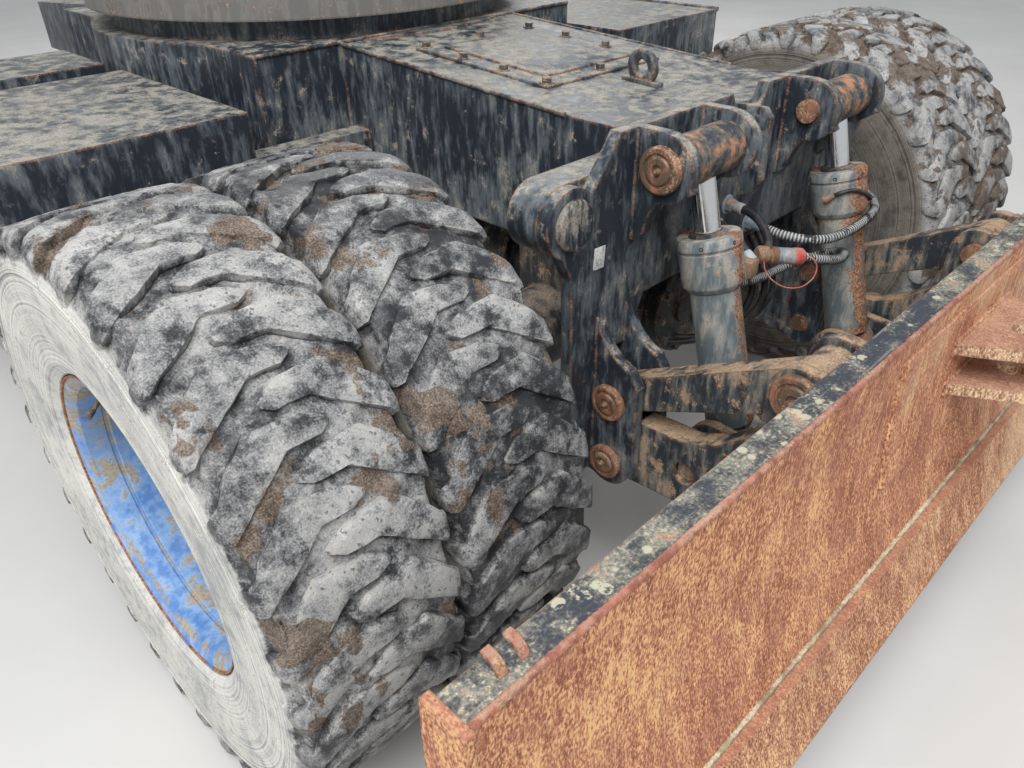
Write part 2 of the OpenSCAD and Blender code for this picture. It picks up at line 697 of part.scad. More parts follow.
// Outline of the bracket's front plate, right half, open between the cheeks
module bracket_half() difference() {
    union() {
        polygon([
            [0, plate_mid_z], [inner_cheek[0] - 1.5 * frame_plate, plate_mid_z],
            [inner_cheek[0] - side_gap, plate_mid_z - 3 * frame_plate], [inner_cheek[0] - side_gap, cheek_low_z],
            [lobe_x - side_gap, cheek_low_z], [lobe_x - side_gap, plate_mid_z],
            [lobe_x, lobe_z - 1.7 * lobe_r], [lobe_x + 0.4 * lobe_r, lobe_z - 0.9 * lobe_r],
            [lobe_x - 0.9 * lobe_r, lobe_z + 0.77 * lobe_r], [plate_top_half_w + 0.7 * plate_corner, plate_top_z - plate_corner],
            [plate_top_half_w, plate_top_z], [inner_lug[0] - 4 * frame_plate, plate_top_z],
            [inner_lug[0] - 5 * frame_plate, plate_top_z - 2 * frame_plate], [0, plate_top_z - 3.5 * frame_plate]
        ]);
        translate([lobe_x, lobe_z]) circle(r = lobe_r);
    }
    translate([inner_cheek[1], 0]) square([outer_cheek[0] - inner_cheek[1], upper_pivot_z + link_h]);
}

// Outline of a cheek that carries the two lower pivots, in the side view
module cheek_outline() {
    nose = -pivot_reach - 1.2 * eye_r;
    difference() {
        polygon([
            [-cheek_back, cheek_low_z], [-cheek_back, cheek_top_z - 1.4 * frame_plate], [-plate_reach + 1, cheek_top_z],
            [-plate_reach - side_gap, cheek_top_z], [nose, upper_pivot_z + eye_r], [nose, lower_pivot_z],
            [-pivot_reach, lower_pivot_z - eye_r]
        ]);
        translate([nose - frame_plate / 2, cheek_top_z]) circle(r = 2.2 * eye_r);
    }
    translate(pivot_c) circle(r = eye_r + side_gap);
}

// Outline of the lug that carries the cylinder's upper pin
module lug_outline() {
    back = -plate_reach + weld;
    difference() {
        polygon([
            [back, cyl_top_z - 2.4 * lobe_r], [back, plate_top_z], [-cyl_top_reach, plate_top_z],
            [-cyl_top_reach - lobe_r, cyl_top_z - lobe_r / 2], [back - side_gap, cyl_top_z - 2.4 * lobe_r]
        ]);
        translate([-cyl_top_reach - lobe_r, cyl_top_z - 2.1 * lobe_r]) circle(r = 1.5 * lobe_r);
    }
    translate(pin_t) circle(r = lobe_r);
}

module blade_bracket() color([0.09, 0.1, 0.125]) at_blade_axle() difference() {
    union() {
        translate([0, -plate_reach + plate_t, 0]) front_plate(plate_t) {
            bracket_half();
            mirror([1, 0]) bracket_half();
        }
        both_sides() {
            for (s = [outer_cheek, inner_cheek]) side_plate(s) cheek_outline();
            // Plate that closes the cheeks behind the pivots
            side_plate([inner_cheek[0], outer_cheek[1]])
                translate([-cheek_back - ear_t, cheek_low_z]) square([ear_t, plate_mid_z - cheek_low_z - frame_plate]);
            for (s = [outer_lug, inner_lug]) side_plate(s) lug_outline();
        }
    }
    both_sides() {
        for (p = [pivot_a, pivot_c]) cross_bar([inner_cheek[0] - 1, outer_cheek[1] + 1], pin_r + gap, p);
        cross_bar([inner_lug[0] - 1, outer_lug[1] + 1], pin_r + gap, pin_t);
        translate([lobe_x, -plate_reach - 1, lobe_z]) long_bar(plate_t + 2, lobe_pin_r + gap);
    }
}

// Pin with a head on its outer end
module headed_pin(span, p) {
    cross_bar(span, pin_r, p);
    cross_bar([span[1], span[1] + pin_head_t], pin_head_r, p);
}

module bracket_pins() color([0.35, 0.27, 0.2]) at_blade_axle() both_sides() {
    for (p = [pivot_a, pivot_c]) headed_pin([inner_cheek[0], outer_cheek[1] + gap], p);
    // Two stubs carry the rod's eye
    headed_pin([outer_lug[0], outer_lug[1] + gap], pin_t);
    cross_bar([inner_lug[0] - pin_head_t, inner_lug[1]], pin_r, pin_t);
    translate([lobe_x, -plate_reach - gap, lobe_z]) long_bar(plate_t + lobe_depth, lobe_pin_r);
    translate([lobe_x, -plate_reach - gap - pin_head_t, lobe_z]) long_bar(pin_head_t, lobe_head_r);
}

// Section of the toolbox, across the machine
module box_section(inset, height) polygon([
    [inset, inset], [box_d - box_chamfer, inset], [box_d, inset + box_chamfer], [box_d, height - inset],
    [inset, height - inset]
]);

module toolbox() color([0.12, 0.13, 0.15]) translate([side_x, box_y + box_len, box_z]) difference() {
    front_plate(box_len) box_section(0, box_h);
    translate([0, -box_wall, 0]) front_plate(box_len - 2 * box_wall) {
        box_section(box_wall, box_h);
        translate([box_d / 2, box_chamfer + box_wall]) square([box_d, box_h - box_chamfer - 2 * box_wall]);
    }
}

// The door hangs from a hinge tube along its upper edge
module door() color([0.13, 0.14, 0.16]) translate([side_x + box_d + gap, box_y, box_z]) {
    translate([0, 0, box_chamfer]) cube([door_t, box_len, box_h - box_chamfer]);
    translate([hinge_r + weld, 0, box_h]) long_bar(box_len, hinge_r);
}

// Two treads on side plates; the upper one hangs from the frame's rails
module step() color([0.12, 0.12, 0.13]) translate([side_x, mid_y + rail, 0]) {
    translate([0, 0, rail_z]) cube([step_plate, step_len, box_z + box_h - rail_z]);
    for (t = [[0, box_d, box_z + box_h - step_t], [box_d - step_w, step_w, step_z]])
        translate([t[0], 0, t[2]]) difference() {
            cube([t[1], step_len, step_t]);
            for (i = [0 : 3]) translate([t[1] - step_w + step_strap, step_len * (i + 0.35) / 4, -weld])
                cube([step_w - 2 * step_strap, step_len / 12, step_t + 2 * weld]);
        }
    for (y = [0, step_len - step_plate])
        translate([box_d - step_strap, y, step_z]) cube([step_strap, step_plate, box_z + box_h - step_z - weld]);
}

module steer_axle() color([0.13, 0.14, 0.15]) at_steer_axle() translate([0, 0, tyre_r]) union() {
    fork_z = knuckle_h / 2 + gap;
    difference() {
        axle_body(kingpin_x + knuckle_r);
        both_sides() translate([kingpin_x - 2 * knuckle_r, -diff_r, -diff_r]) cube([kingpin_x, 2 * diff_r, 2 * diff_r]);
    }
    // Forked ends that hold the kingpins
    both_sides() {
        difference() {
            for (z = [-fork_z - fork_t, fork_z]) translate([0, 0, z]) linear_extrude(fork_t)
                pill([kingpin_x - 2.5 * knuckle_r, 0], [kingpin_x, 0], 1.4 * knuckle_r, 0.9 * knuckle_r);
            translate([kingpin_x, 0, -diff_r]) cylinder(r = kingpin_r + gap, h = 2 * diff_r);
        }
        translate([kingpin_x - 3.8 * knuckle_r, -0.85 * knuckle_r, -fork_z - fork_t])
            cube([2 * knuckle_r, 1.7 * knuckle_r, 2 * (fork_z + fork_t)]);
    }
    // Trunnions
    translate([0, -trunnion_end, 0]) long_bar(2 * trunnion_end, trunnion_r);
    translate([0, -trunnion_reach + side_gap, 0]) long_bar(trunnion_reach, 1.4 * trunnion_r);
    // Saddle of the steering cylinder
    translate([-steer_block_len / 2, axle_tube_r, steer_cyl_z - steer_block / 2])
        cube([steer_block_len, steer_cyl_y - steer_block / 2 - axle_tube_r, steer_block]);
}

module steer_cylinder() color([0.12, 0.12, 0.13]) at_steer_axle()
    translate([0, steer_cyl_y, tyre_r + steer_cyl_z]) difference() {
        union() {
            cross_bar([-steer_barrel_len / 2, steer_barrel_len / 2], steer_barrel_r, [0, 0]);
            translate([-steer_block_len / 2, -steer_block / 2, -steer_block / 2])
                cube([steer_block_len, steer_block, steer_block]);
        }
        cross_bar([-steer_barrel_len, steer_barrel_len], steer_rod_r + gap, [0, 0]);
    }

module steer_rods() color([0.6, 0.6, 0.6]) at_steer_axle() translate([0, steer_cyl_y, tyre_r + steer_cyl_z]) {
    eye_x = kingpin_x - steer_arm_in;
    cross_bar([-eye_x + steer_eye_r / 2, eye_x - steer_eye_r / 2], steer_rod_r, [0, 0]);
    both_sides() translate([eye_x, 0, -steer_rod_r - weld]) cylinder(r = steer_eye_r, h = 2 * (steer_rod_r + weld));
}

module knuckle() color([0.13, 0.14, 0.15]) at_steer_axle() translate([0, 0, tyre_r]) {
    translate([kingpin_x, 0, -knuckle_h / 2 - fork_t]) cylinder(r = kingpin_r, h = knuckle_h + 2 * fork_t);
    translate([kingpin_x, 0, -knuckle_h / 2]) cylinder(r = knuckle_r, h = knuckle_h);
    translate([kingpin_x, -0.8 * knuckle_r, -knuckle_h / 2]) cube([1.3 * knuckle_r, 1.6 * knuckle_r, knuckle_h]);
    cross_bar([kingpin_x + 1.2 * knuckle_r, hub_face_x], brake_r - frame_plate, [0, 0]);
    cross_bar([hub_face_x - weld, hub_face_x + spindle_len], spindle_r, [0, 0]);
    // Steering arm, just under the rod's eye
    arm_z = steer_cyl_z - steer_rod_r - 2 * weld - steer_arm_t;
    translate([0, 0, arm_z]) linear_extrude(steer_arm_t)
        pill([kingpin_x, knuckle_r / 2], [kingpin_x - steer_arm_in, steer_cyl_y], steer_eye_r - weld, steer_eye_r - weld);
}

// Lower arm in the side view: its back rises towards the blade and its belly drops under the beam
module arm_outline() {
    knee = pin_p + [-1.2 * eye_r, 2 * eye_r - weld];
    polygon([
        pivot_c + [0, eye_r], pivot_c + [-eye_r, 2 * eye_r], pin_p + [0, 1.4 * eye_r], knee,
        beam_p + [-eye_r, 1.8 * beam_h + frame_plate], pivot_d + [frame_plate, 0.9 * eye_r], pivot_d + [0, -eye_r + weld],
        beam_p - [0, beam_h / 2], pin_p + [-eye_r, -1.4 * eye_r], pin_p + [eye_r / 2, -1.5 * eye_r], pivot_c - [0, eye_r - weld]
    ]);
    translate(pivot_c) circle(r = eye_r);
    translate(pivot_d) circle(r = eye_r);
}

module lower_arms() color([0.1, 0.11, 0.13]) at_blade_axle() both_sides() difference() {
    side_plate(link_span) arm_outline();
    for (p = [pivot_c, pivot_d, pin_p]) cross_bar([link_span[0] - 1, link_span[1] + 1], pin_r + gap, p);
}

// Beam between the arms with four discs that carry the cylinders' lower pins
module arm_beam() color([0.1, 0.11, 0.13]) at_blade_axle() difference() {
    union() {
        side_plate([-link_span[0] + gap, link_span[0] - gap]) translate(beam_p - [beam_len / 2, beam_h / 2]) square([beam_len, beam_h]);
        both_sides() for (s = [inner_disc, outer_disc]) side_plate(s) pill(pin_p, beam_p, lobe_r, eye_r);
    }
    both_sides() cross_bar([inner_disc[0] - 1, outer_disc[1] + 1], pin_r + gap, pin_p);
}

module arm_pins() color([0.35, 0.27, 0.2]) at_blade_axle() both_sides()
    cross_bar([inner_disc[0] - pin_head_t, outer_disc[1] + pin_head_t], pin_r, pin_p);

module upper_links() color([0.1, 0.11, 0.13]) at_blade_axle() both_sides() difference() {
    union() {
        side_plate(link_span) pill(pivot_a, pivot_b, link_h / 2 - 2 * side_gap, link_h / 2);
        cross_bar([inner_ear[1] + side_gap, link_span[1]], eye_r - 2 * side_gap, pivot_b);
    }
    for (p = [pivot_a, pivot_b]) cross_bar([inner_ear[0], link_span[1] + 1], pin_r + gap, p);
}

// Band that follows the blade's face, from one depth behind it to another, between two heights
module face_band(from, to, low, high) intersection() {
    translate(face_centre) difference() {
        circle(r = face_r + to, $fn = 360);
        circle(r = face_r + from, $fn = 360);
    }
    translate([-1.5 * blade_low_reach, low]) square([blade_low_reach, high - low]);
}

module blade() color([0.5, 0.27, 0.14]) at_blade_axle() {
    edge_top = blade_low_z + edge_h;
    side_plate([-blade_w / 2, blade_w / 2]) {
        face_band(0, face_t, blade_low_z + edge_t, blade_top_z);
        face_band(weld, flange_depth, blade_top_z - flange_h, blade_top_z - gap);
        face_band(weld, stiffener_depth, stiffener_z - stiffener_h / 2, stiffener_z + stiffener_h / 2);
    }
    side_plate([-doubler_half_w, doubler_half_w]) face_band(-doubler_t, weld, doubler_low_z, doubler_high_z);
    both_sides() {
        side_plate([blade_w / 2 - end_t, blade_w / 2]) {
            face_band(-end_proud, flange_depth + weld, edge_top + gap, blade_top_z + end_proud);
            face_band(weld, flange_depth, blade_low_z + edge_t - weld, edge_top + weld);
        }
        // Ribs from the stiffener up to the flange
        for (x = [blade_w * 0.24, blade_w * 0.36])
            side_plate([x, x + rib_t]) face_band(weld, rib_depth, stiffener_z, blade_top_z - flange_h / 2);
    }
}

// Ear of the blade that carries its two pivots, seated on the back of the face plate
module ear_outline() intersection() {
    union() {
        polygon([
            pivot_b + [-frame_plate, eye_r], [-blade_low_reach, blade_pivot_z + 0.6 * eye_r],
            [-blade_low_reach, pivot_d[1] - 1.7 * eye_r], pivot_d + [-frame_plate / 2, -eye_r],
            pivot_d + [eye_r, 0], pivot_b + [eye_r, 0]
        ]);
        translate(pivot_b) circle(r = eye_r);
        translate(pivot_d) circle(r = eye_r);
    }
    face_band(face_t + gap, 2 * blade_top_reach, 0, 2 * blade_top_z);
}

module blade_ears() color([0.1, 0.11, 0.13]) at_blade_axle() both_sides() difference() {
    for (s = [outer_cheek, inner_ear]) side_plate(s) ear_outline();
    for (p = [pivot_b, pivot_d]) cross_bar([inner_ear[0] - 1, outer_cheek[1] + 1], pin_r + gap, p);
}

module towing_clevis() color([0.5, 0.27, 0.14]) at_blade_axle() intersection() {
    for (z = [clevis_z, clevis_z + clevis_pitch]) translate([0, 0, z]) linear_extrude(clevis_t) difference() {
        polygon([
            [-clevis_w / 2, -blade_top_reach + doubler_t], [clevis_w / 2, -blade_top_reach + doubler_t],
            [clevis_w / 2 - doubler_t, -blade_top_reach - 3 * doubler_t], [clevis_tip_w / 2, -clevis_reach],
            [-clevis_tip_w / 2, -clevis_reach], [-clevis_w / 2 + doubler_t, -blade_top_reach - 3 * doubler_t]
        ]);
        translate([0, -clevis_reach + clevis_bore_inset]) circle(r = clevis_bore_r);
    }
    side_plate([-clevis_w, clevis_w]) translate(face_centre) circle(r = face_r - doubler_t - gap, $fn = 360);
}

module cutting_edge() color([0.4, 0.22, 0.14]) at_blade_axle()
    side_plate([-blade_w / 2, blade_w / 2]) face_band(-edge_t, -gap, blade_low_z, blade_low_z + edge_h);

module blade_pins() color([0.4, 0.25, 0.17]) at_blade_axle() both_sides()
    for (p = [pivot_b, pivot_d]) headed_pin([inner_ear[0] - pin_head_t, outer_cheek[1] + gap], p);

// Along the cylinder: the lower pin is at 0 and the upper pin at cyl_len
module along_cylinder() translate([cyl_x, pin_p[0], pin_p[1]]) rotate([-cyl_lean, 0, 0]) children();

module cylinder_barrels() color([0.2, 0.22, 0.25]) at_blade_axle() both_sides() along_cylinder() difference() {
    union() {
        translate([0, 0, cyl_eye_r - 3 * weld]) cylinder(r = barrel_r, h = gland_top - gland_len - cyl_eye_r + 4 * weld);
        translate([0, 0, gland_top - gland_len]) cylinder(r = gland_r, h = gland_len);
        cross_bar([-barrel_eye_w / 2, barrel_eye_w / 2], cyl_eye_r, [0, 0]);
    }
    cross_bar([-barrel_eye_w, barrel_eye_w], pin_r + gap, [0, 0]);
    translate([0, 0, cyl_eye_r + pin_r]) cylinder(r = rod_r + gap, h = cyl_len);
}

// The rod ends inside the barrel with room for the blade's highest place
module cylinder_rods() color([0.75, 0.75, 0.76]) at_blade_axle() both_sides() along_cylinder() {
    inside = cyl_eye_r + pin_r + 8 * side_gap;
    translate([0, 0, inside]) cylinder(r = rod_r, h = cyl_len - inside - cyl_eye_r / 2);
    translate([0, 0, cyl_len]) cross_bar([-rod_eye_w / 2, rod_eye_w / 2], cyl_eye_r, [0, 0]);
}

chassis_frame();
slew_inner_ring();
slew_outer_ring();
swivel_joint();
blade_axle();
gearbox();
drive_shaft();
blade_bracket();
bracket_pins();
mirror([1, 0, 0]) toolbox();  // toolbox_left
toolbox();  // toolbox_right
mirror([1, 0, 0]) door();  // door_left
door();  // door_right
mirror([1, 0, 0]) step();  // step_left
step();  // step_right
steer_axle();
steer_cylinder();
steer_rods();
mirror([1, 0, 0]) knuckle();  // knuckle_left
knuckle();  // knuckle_right
at_blade_axle() mirror([1, 0, 0]) tyre_pair();  // tyres_blade_left
at_blade_axle() tyre_pair();  // tyres_blade_right
at_steer_axle() mirror([1, 0, 0]) tyre_pair();  // tyres_steer_left
at_steer_axle() tyre_pair();  // tyres_steer_right
at_blade_axle() mirror([1, 0, 0]) rim_pair();  // rims_blade_left
at_blade_axle() rim_pair();  // rims_blade_right
at_steer_axle() mirror([1, 0, 0]) rim_pair();  // rims_steer_left
at_steer_axle() rim_pair();  // rims_steer_right
lower_arms();
arm_beam();
arm_pins();
upper_links();
blade();
blade_ears();
towing_clevis();
cutting_edge();
blade_pins();
cylinder_barrels();
cylinder_rods();
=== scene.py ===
"""Looks of a wheeled undercarriage: clay on its twin tyres, a rusted dozer blade, worn paint, hoses."""
import math

import bpy
from mathutils import Matrix, Vector, noise
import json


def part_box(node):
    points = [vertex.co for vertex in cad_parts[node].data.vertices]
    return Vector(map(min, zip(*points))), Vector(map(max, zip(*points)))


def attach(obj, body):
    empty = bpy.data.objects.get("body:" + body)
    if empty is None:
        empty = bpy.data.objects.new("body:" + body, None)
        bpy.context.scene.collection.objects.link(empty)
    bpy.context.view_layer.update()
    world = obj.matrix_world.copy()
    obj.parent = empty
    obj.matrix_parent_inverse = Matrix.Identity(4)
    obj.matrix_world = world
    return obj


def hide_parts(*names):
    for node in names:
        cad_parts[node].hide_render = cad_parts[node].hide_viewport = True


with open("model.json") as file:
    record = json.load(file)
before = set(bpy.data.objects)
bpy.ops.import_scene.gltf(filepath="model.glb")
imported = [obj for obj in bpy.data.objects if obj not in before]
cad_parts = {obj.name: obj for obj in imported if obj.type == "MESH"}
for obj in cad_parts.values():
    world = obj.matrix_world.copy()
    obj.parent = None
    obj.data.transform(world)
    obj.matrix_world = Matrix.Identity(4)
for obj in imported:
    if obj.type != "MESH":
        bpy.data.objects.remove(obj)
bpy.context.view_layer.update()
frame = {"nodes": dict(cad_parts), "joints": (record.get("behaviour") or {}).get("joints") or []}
scene = bpy.context.scene
scene.view_settings.view_transform = "Standard"
# A fixed start gives the small bumps of welds and tyres the same shape each run
noise.seed_set(7)
nodes = frame["nodes"]
joint_at = {j["name"]: Vector(j.get("pos_m") or (0, 0, 0)) for j in frame["joints"]}
blade_axle = joint_at["blade_left_spin"].y
steer_axle = joint_at["steer_left_spin"].y

# The view: the photographer stood beside the near tyres and looked down over them at the blade.
# The place was worked out from the tyre, the blade and the pins; heights are above the ground.
eye = Vector((-1.5045, blade_axle - 1.1252, 1.4185))
heading = 0.7955
look_down = 0.5777
tilt = -0.0205
forward = Vector((math.cos(heading), math.sin(heading), -math.tan(look_down))).normalized()
level = forward.cross(Vector((0, 0, 1))).normalized()
above = level.cross(forward)
across = level * math.cos(tilt) + above * math.sin(tilt)
upward = above * math.cos(tilt) - level * math.sin(tilt)
camera = bpy.data.objects.new("camera", bpy.data.cameras.new("camera"))
scene.collection.objects.link(camera)
camera.matrix_world = Matrix((across, upward, -forward)).transposed().to_4x4()
camera.location = eye
camera.data.lens = 28.145
camera.data.clip_start = 0.02
scene.camera = camera


# The floor is pale studio floor, and the light is a wide soft box above with a fill behind.
# add() makes one shader node, and new_finish() starts a material. The short helpers after them take the
# values of one material and find its tree from them.
def feed(socket, value):
    if isinstance(value, bpy.types.NodeSocket):
        socket.id_data.links.new(value, socket)
    else:
        socket.default_value = value


def add(tree, kind, inputs=None, **settings):
    made = tree.nodes.new("ShaderNode" + kind)
    for name, value in settings.items():
        setattr(made, name, value)
    for name, value in (inputs or {}).items():
        feed(made.inputs[name], value)
    return made


def new_finish(name, settings):
    material = bpy.data.materials.new(name)
    material.use_nodes = True
    shader = material.node_tree.nodes["Principled BSDF"]
    for socket, value in settings.items():
        shader.inputs[socket].default_value = value
    return material, material.node_tree, shader


def grain(where, scale, detail=4.0, rough=0.6):
    inputs = {"Vector": where, "Scale": scale, "Detail": detail, "Roughness": rough}
    return add(where.id_data, "TexNoise", inputs).outputs["Fac"]


def ramp(value, *stops):
    made = add(value.id_data, "ValToRGB", {"Fac": value})
    band = made.color_ramp
    while len(band.elements) < len(stops):
        band.elements.new(0.5)
    for element, (place, colour) in zip(band.elements, stops):
        element.position = place
        element.color = (*colour, 1)
    return made.outputs["Color"]


def mask(value, low, high):
    inputs = {"Value": value, "From Min": low, "From Max": high}
    return add(value.id_data, "MapRange", inputs, interpolation_type="SMOOTHSTEP").outputs["Result"]


def calc(operation, *values):
    first = next(value for value in values if isinstance(value, bpy.types.NodeSocket))
    made = add(first.id_data, "Math", operation=operation)
    for socket, value in zip(made.inputs, values):
        feed(socket, value)
    return made.outputs["Value"]


def times(first, second):
    return calc("MULTIPLY", first, second)


def most(first, second):
    return calc("MAXIMUM", first, second)


def times_add(value, factor, more):
    return calc("MULTIPLY_ADD", value, factor, more)


def mixed(*shares):
    total = times(shares[0], shares[1])
    for value, share in zip(shares[2::2], shares[3::2]):
        total = times_add(value, share, total)
    return total


def blend(fac, first, second):
    made = add(fac.id_data, "Mix", data_type="RGBA")
    for socket, value in zip((made.inputs["Factor"], made.inputs[6], made.inputs[7]), (fac, first, second)):
        feed(socket, (*value, 1) if isinstance(value, tuple) else value)
    return made.outputs[2]


def part(vector, letter):
    return add(vector.id_data, "SeparateXYZ", {"Vector": vector}).outputs[letter]


def span(vector):
    return add(vector.id_data, "VectorMath", {0: vector}, operation="LENGTH").outputs["Value"]


def stretched(place, scale, shift=(0, 0, 0)):
    inputs = {"Vector": place, "Scale": scale, "Location": shift}
    return add(place.id_data, "Mapping", inputs).outputs["Vector"]


def dress(name, finish):
    slots = nodes[name].data.materials
    slots.clear()
    slots.append(finish)


bpy.ops.mesh.primitive_plane_add(size=60, location=(0, 0, 0))
floor = bpy.context.object
floor.name = "studio_floor"
floor_finish, tree, shader = new_finish("floor", {"Roughness": 0.9})
place = add(tree, "TexCoord").outputs["Object"]
tone = ramp(grain(place, 1.3), (0.3, (0.60, 0.59, 0.57)), (0.7, (0.66, 0.65, 0.63)))
feed(shader.inputs["Base Color"], tone)
floor.data.materials.append(floor_finish)


def soft_box(name, place, size, power):
    lamp = bpy.data.objects.new(name, bpy.data.lights.new(name, "AREA"))
    lamp.data.shape = "RECTANGLE"
    lamp.data.size, lamp.data.size_y = size
    lamp.data.energy = power
    scene.collection.objects.link(lamp)
    lamp.location = place
    lamp.rotation_euler = (Vector((0, 0, 0.4)) - Vector(place)).to_track_quat("-Z", "Y").to_euler()


soft_box("soft_box_top", (-3.0, -3.0, 5.5), (4.0, 4.0), 400)
soft_box("soft_box_back", (4.0, 4.5, 4.0), (4.0, 3.0), 120)
world = bpy.data.worlds.new("studio")
scene.world = world
world.use_nodes = True
world.node_tree.nodes["Background"].inputs["Color"].default_value = (0.93, 0.96, 1.0, 1)
world.node_tree.nodes["Background"].inputs["Strength"].default_value = 0.58

# The chassis, the bracket, the arms and links are welded plate in blue-black paint. It is worn to rust along
# the edges, chalky in patches, and beige dust lies on what faces up. Rounded edges come from the bevel node.
fine_rust = ((0.38, (0.09, 0.040, 0.024)), (0.5, (0.27, 0.125, 0.070)), (0.62, (0.47, 0.31, 0.20)))


def worn_edges(tree, radius, low, high):
    rounded = add(tree, "Bevel", {"Radius": radius}, samples=3).outputs["Normal"]
    true = add(tree, "NewGeometry").outputs["Normal"]
    turn = add(tree, "VectorMath", {0: rounded, 1: true}, operation="DOT_PRODUCT").outputs["Value"]
    return mask(calc("SUBTRACT", 1.0, turn), low, high), rounded


def finish_surface(shader, colour, dull, height, depth, rounded=None):
    gloss = add(dull.id_data, "MapRange", {"Value": dull, "To Min": 0.36, "To Max": 0.88})
    bump = add(dull.id_data, "Bump", {"Height": height, "Strength": 0.6, "Distance": depth})
    if rounded:
        feed(bump.inputs["Normal"], rounded)
    feed(shader.inputs["Base Color"], colour)
    feed(shader.inputs["Roughness"], gloss.outputs["Result"])
    feed(shader.inputs["Normal"], bump.outputs["Normal"])


def painted_plate(name, paint, chalk, dust, rust_share, dust_share, top_dust, edges=0.008, depth=0.0015,
                  bands=()):
    material, tree, shader = new_finish(name, {"Specular IOR Level": 0.42})
    coordinates = add(tree, "TexCoord")
    place = coordinates.outputs["Object"]
    broad = grain(place, 4.5, 4.0)
    middle = grain(place, 26.0, 5.0, 0.72)
    washed = grain(stretched(place, (1, 1, 0.25), (5.3, 2.9, 7.1)), 46.0, 4.0, 0.68)
    fine = grain(place, 230.0, 2.0, 0.7)
    edge, rounded = worn_edges(tree, edges, 0.010, 0.10)
    facing = part(coordinates.outputs["Normal"], "Z")
    upward = mask(facing, 0.3, 0.95)
    coat = blend(mask(mixed(washed, 0.65, broad, 0.35), 0.44, 0.58), paint, chalk)
    thin = 0.16 * dust_share
    film = mask(mixed(washed, 0.5, broad, 0.3, middle, 0.2), 0.590 - thin, 0.680 - thin)
    lying = mask(mixed(upward, top_dust * 0.22, middle, 0.7, broad, 0.3), 0.53, 0.68)
    film = most(times(film, 0.62), times(lying, 0.8))
    dusty = ramp(mixed(fine, 0.55, middle, 0.45), (0.38, tuple(c * 0.5 for c in dust)), (0.5, dust),
                 (0.62, tuple(min(c * 1.5, 1.0) for c in dust)))
    coat = blend(film, coat, dusty)
    edge_rust = times(edge, mask(mixed(middle, 0.8, fine, 0.2), 0.455, 0.52))
    spots = mask(mixed(middle, 0.60, washed, 0.12, fine, 0.28), 0.60 - rust_share, 0.625 - rust_share)
    rust = most(edge_rust, spots)
    across_x = part(place, "X")
    for low, high in bands:
        ragged = times_add(middle, 0.09, calc("SUBTRACT", across_x, 0.045))
        from_low, to_high = mask(ragged, low - 0.003, low + 0.003), mask(ragged, high + 0.003, high - 0.003)
        band = times(calc("MINIMUM", from_low, to_high), mask(mixed(washed, 0.5, broad, 0.5), 0.43, 0.48))
        rust = most(rust, band)
    colour = blend(rust, coat, ramp(mixed(fine, 0.6, middle, 0.4), *fine_rust))
    height = mixed(middle, 0.5, rust, -0.4, film, 0.15, fine, 0.15)
    finish_surface(shader, colour, most(rust, film), height, depth, rounded)
    return material


black_paint = painted_plate("worn_black_paint", (0.024, 0.030, 0.040), (0.115, 0.135, 0.150),
                            (0.31, 0.29, 0.245), 0.0, 0.35, 0.55)
for name in ("chassis_frame", "blade_bracket", "toolbox_left", "toolbox_right", "door_left", "door_right",
             "step_left", "step_right"):
    dress(name, black_paint)
muddy_paint = painted_plate("muddy_black_paint", (0.034, 0.040, 0.048), (0.17, 0.17, 0.155),
                            (0.45, 0.305, 0.19), 0.035, 0.50, 0.75)
for name in ("lower_arms", "arm_beam", "upper_links", "blade_ears"):
    dress(name, muddy_paint)


# Distances in the linkage and the bracket are given as they are in the side view: millimetres across the
# machine, along it from the blade-end axle, and above the ground.
def spot(x, y, z):
    return Vector((x / 1000, blade_axle + y / 1000, z / 1000))


def choose(*pieces):
    bpy.ops.object.select_all(action="DESELECT")
    for piece in pieces:
        piece.select_set(True)
    if pieces:
        bpy.context.view_layer.objects.active = pieces[0]


# Each step of shape() is an edit-mode operator's name and settings, done with the whole mesh selected
def shape(*steps):
    bpy.ops.object.mode_set(mode="EDIT")
    for operator, settings in steps:
        bpy.ops.mesh.select_all(action="SELECT")
        getattr(bpy.ops.mesh, operator)(**settings)
    bpy.ops.object.mode_set(mode="OBJECT")


outward = ("normals_make_consistent", {"inside": False})


def bevelled(width, segments):
    return "bevel", {"offset": width, "segments": segments, "affect": "EDGES"}


def pulled(offset):
    return "extrude_region_move", {"TRANSFORM_OT_translate": {"value": offset}}


def spun(steps, axis):
    return "spin", {"steps": steps, "angle": 2 * math.pi, "center": (0, 0, 0), "axis": axis}


def merged(reach):
    return "remove_doubles", {"threshold": reach}


def outline_object(name, points, fill="NGON"):
    choose()
    bpy.ops.mesh.primitive_circle_add(vertices=len(points), fill_type=fill)
    made = bpy.context.object
    made.name = name
    for vertex, point in zip(made.data.vertices, points):
        vertex.co = point
    return made


def join(name, pieces):
    choose(*pieces)
    bpy.ops.object.join()
    pieces[0].name = name
    return pieces[0]


def smooth(piece, degrees=35):
    choose(piece)
    bpy.ops.object.shade_smooth_by_angle(angle=math.radians(degrees))
    return piece


def belongs(piece, finish, body="chassis"):
    piece.data.materials.clear()
    piece.data.materials.append(finish)
    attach(piece, body)
    return piece


def block(name, centre, size, bevel):
    choose()
    bpy.ops.mesh.primitive_cube_add(size=1, location=centre, scale=size)
    made = bpy.context.object
    made.name = name
    bpy.ops.object.transform_apply(location=True, rotation=True, scale=True)
    shape(bevelled(bevel, 2))
    return smooth(made)


def aimed(place, along):
    return Matrix.Translation(place) @ Vector(along).to_track_quat("Z", "Y").to_matrix().to_4x4()


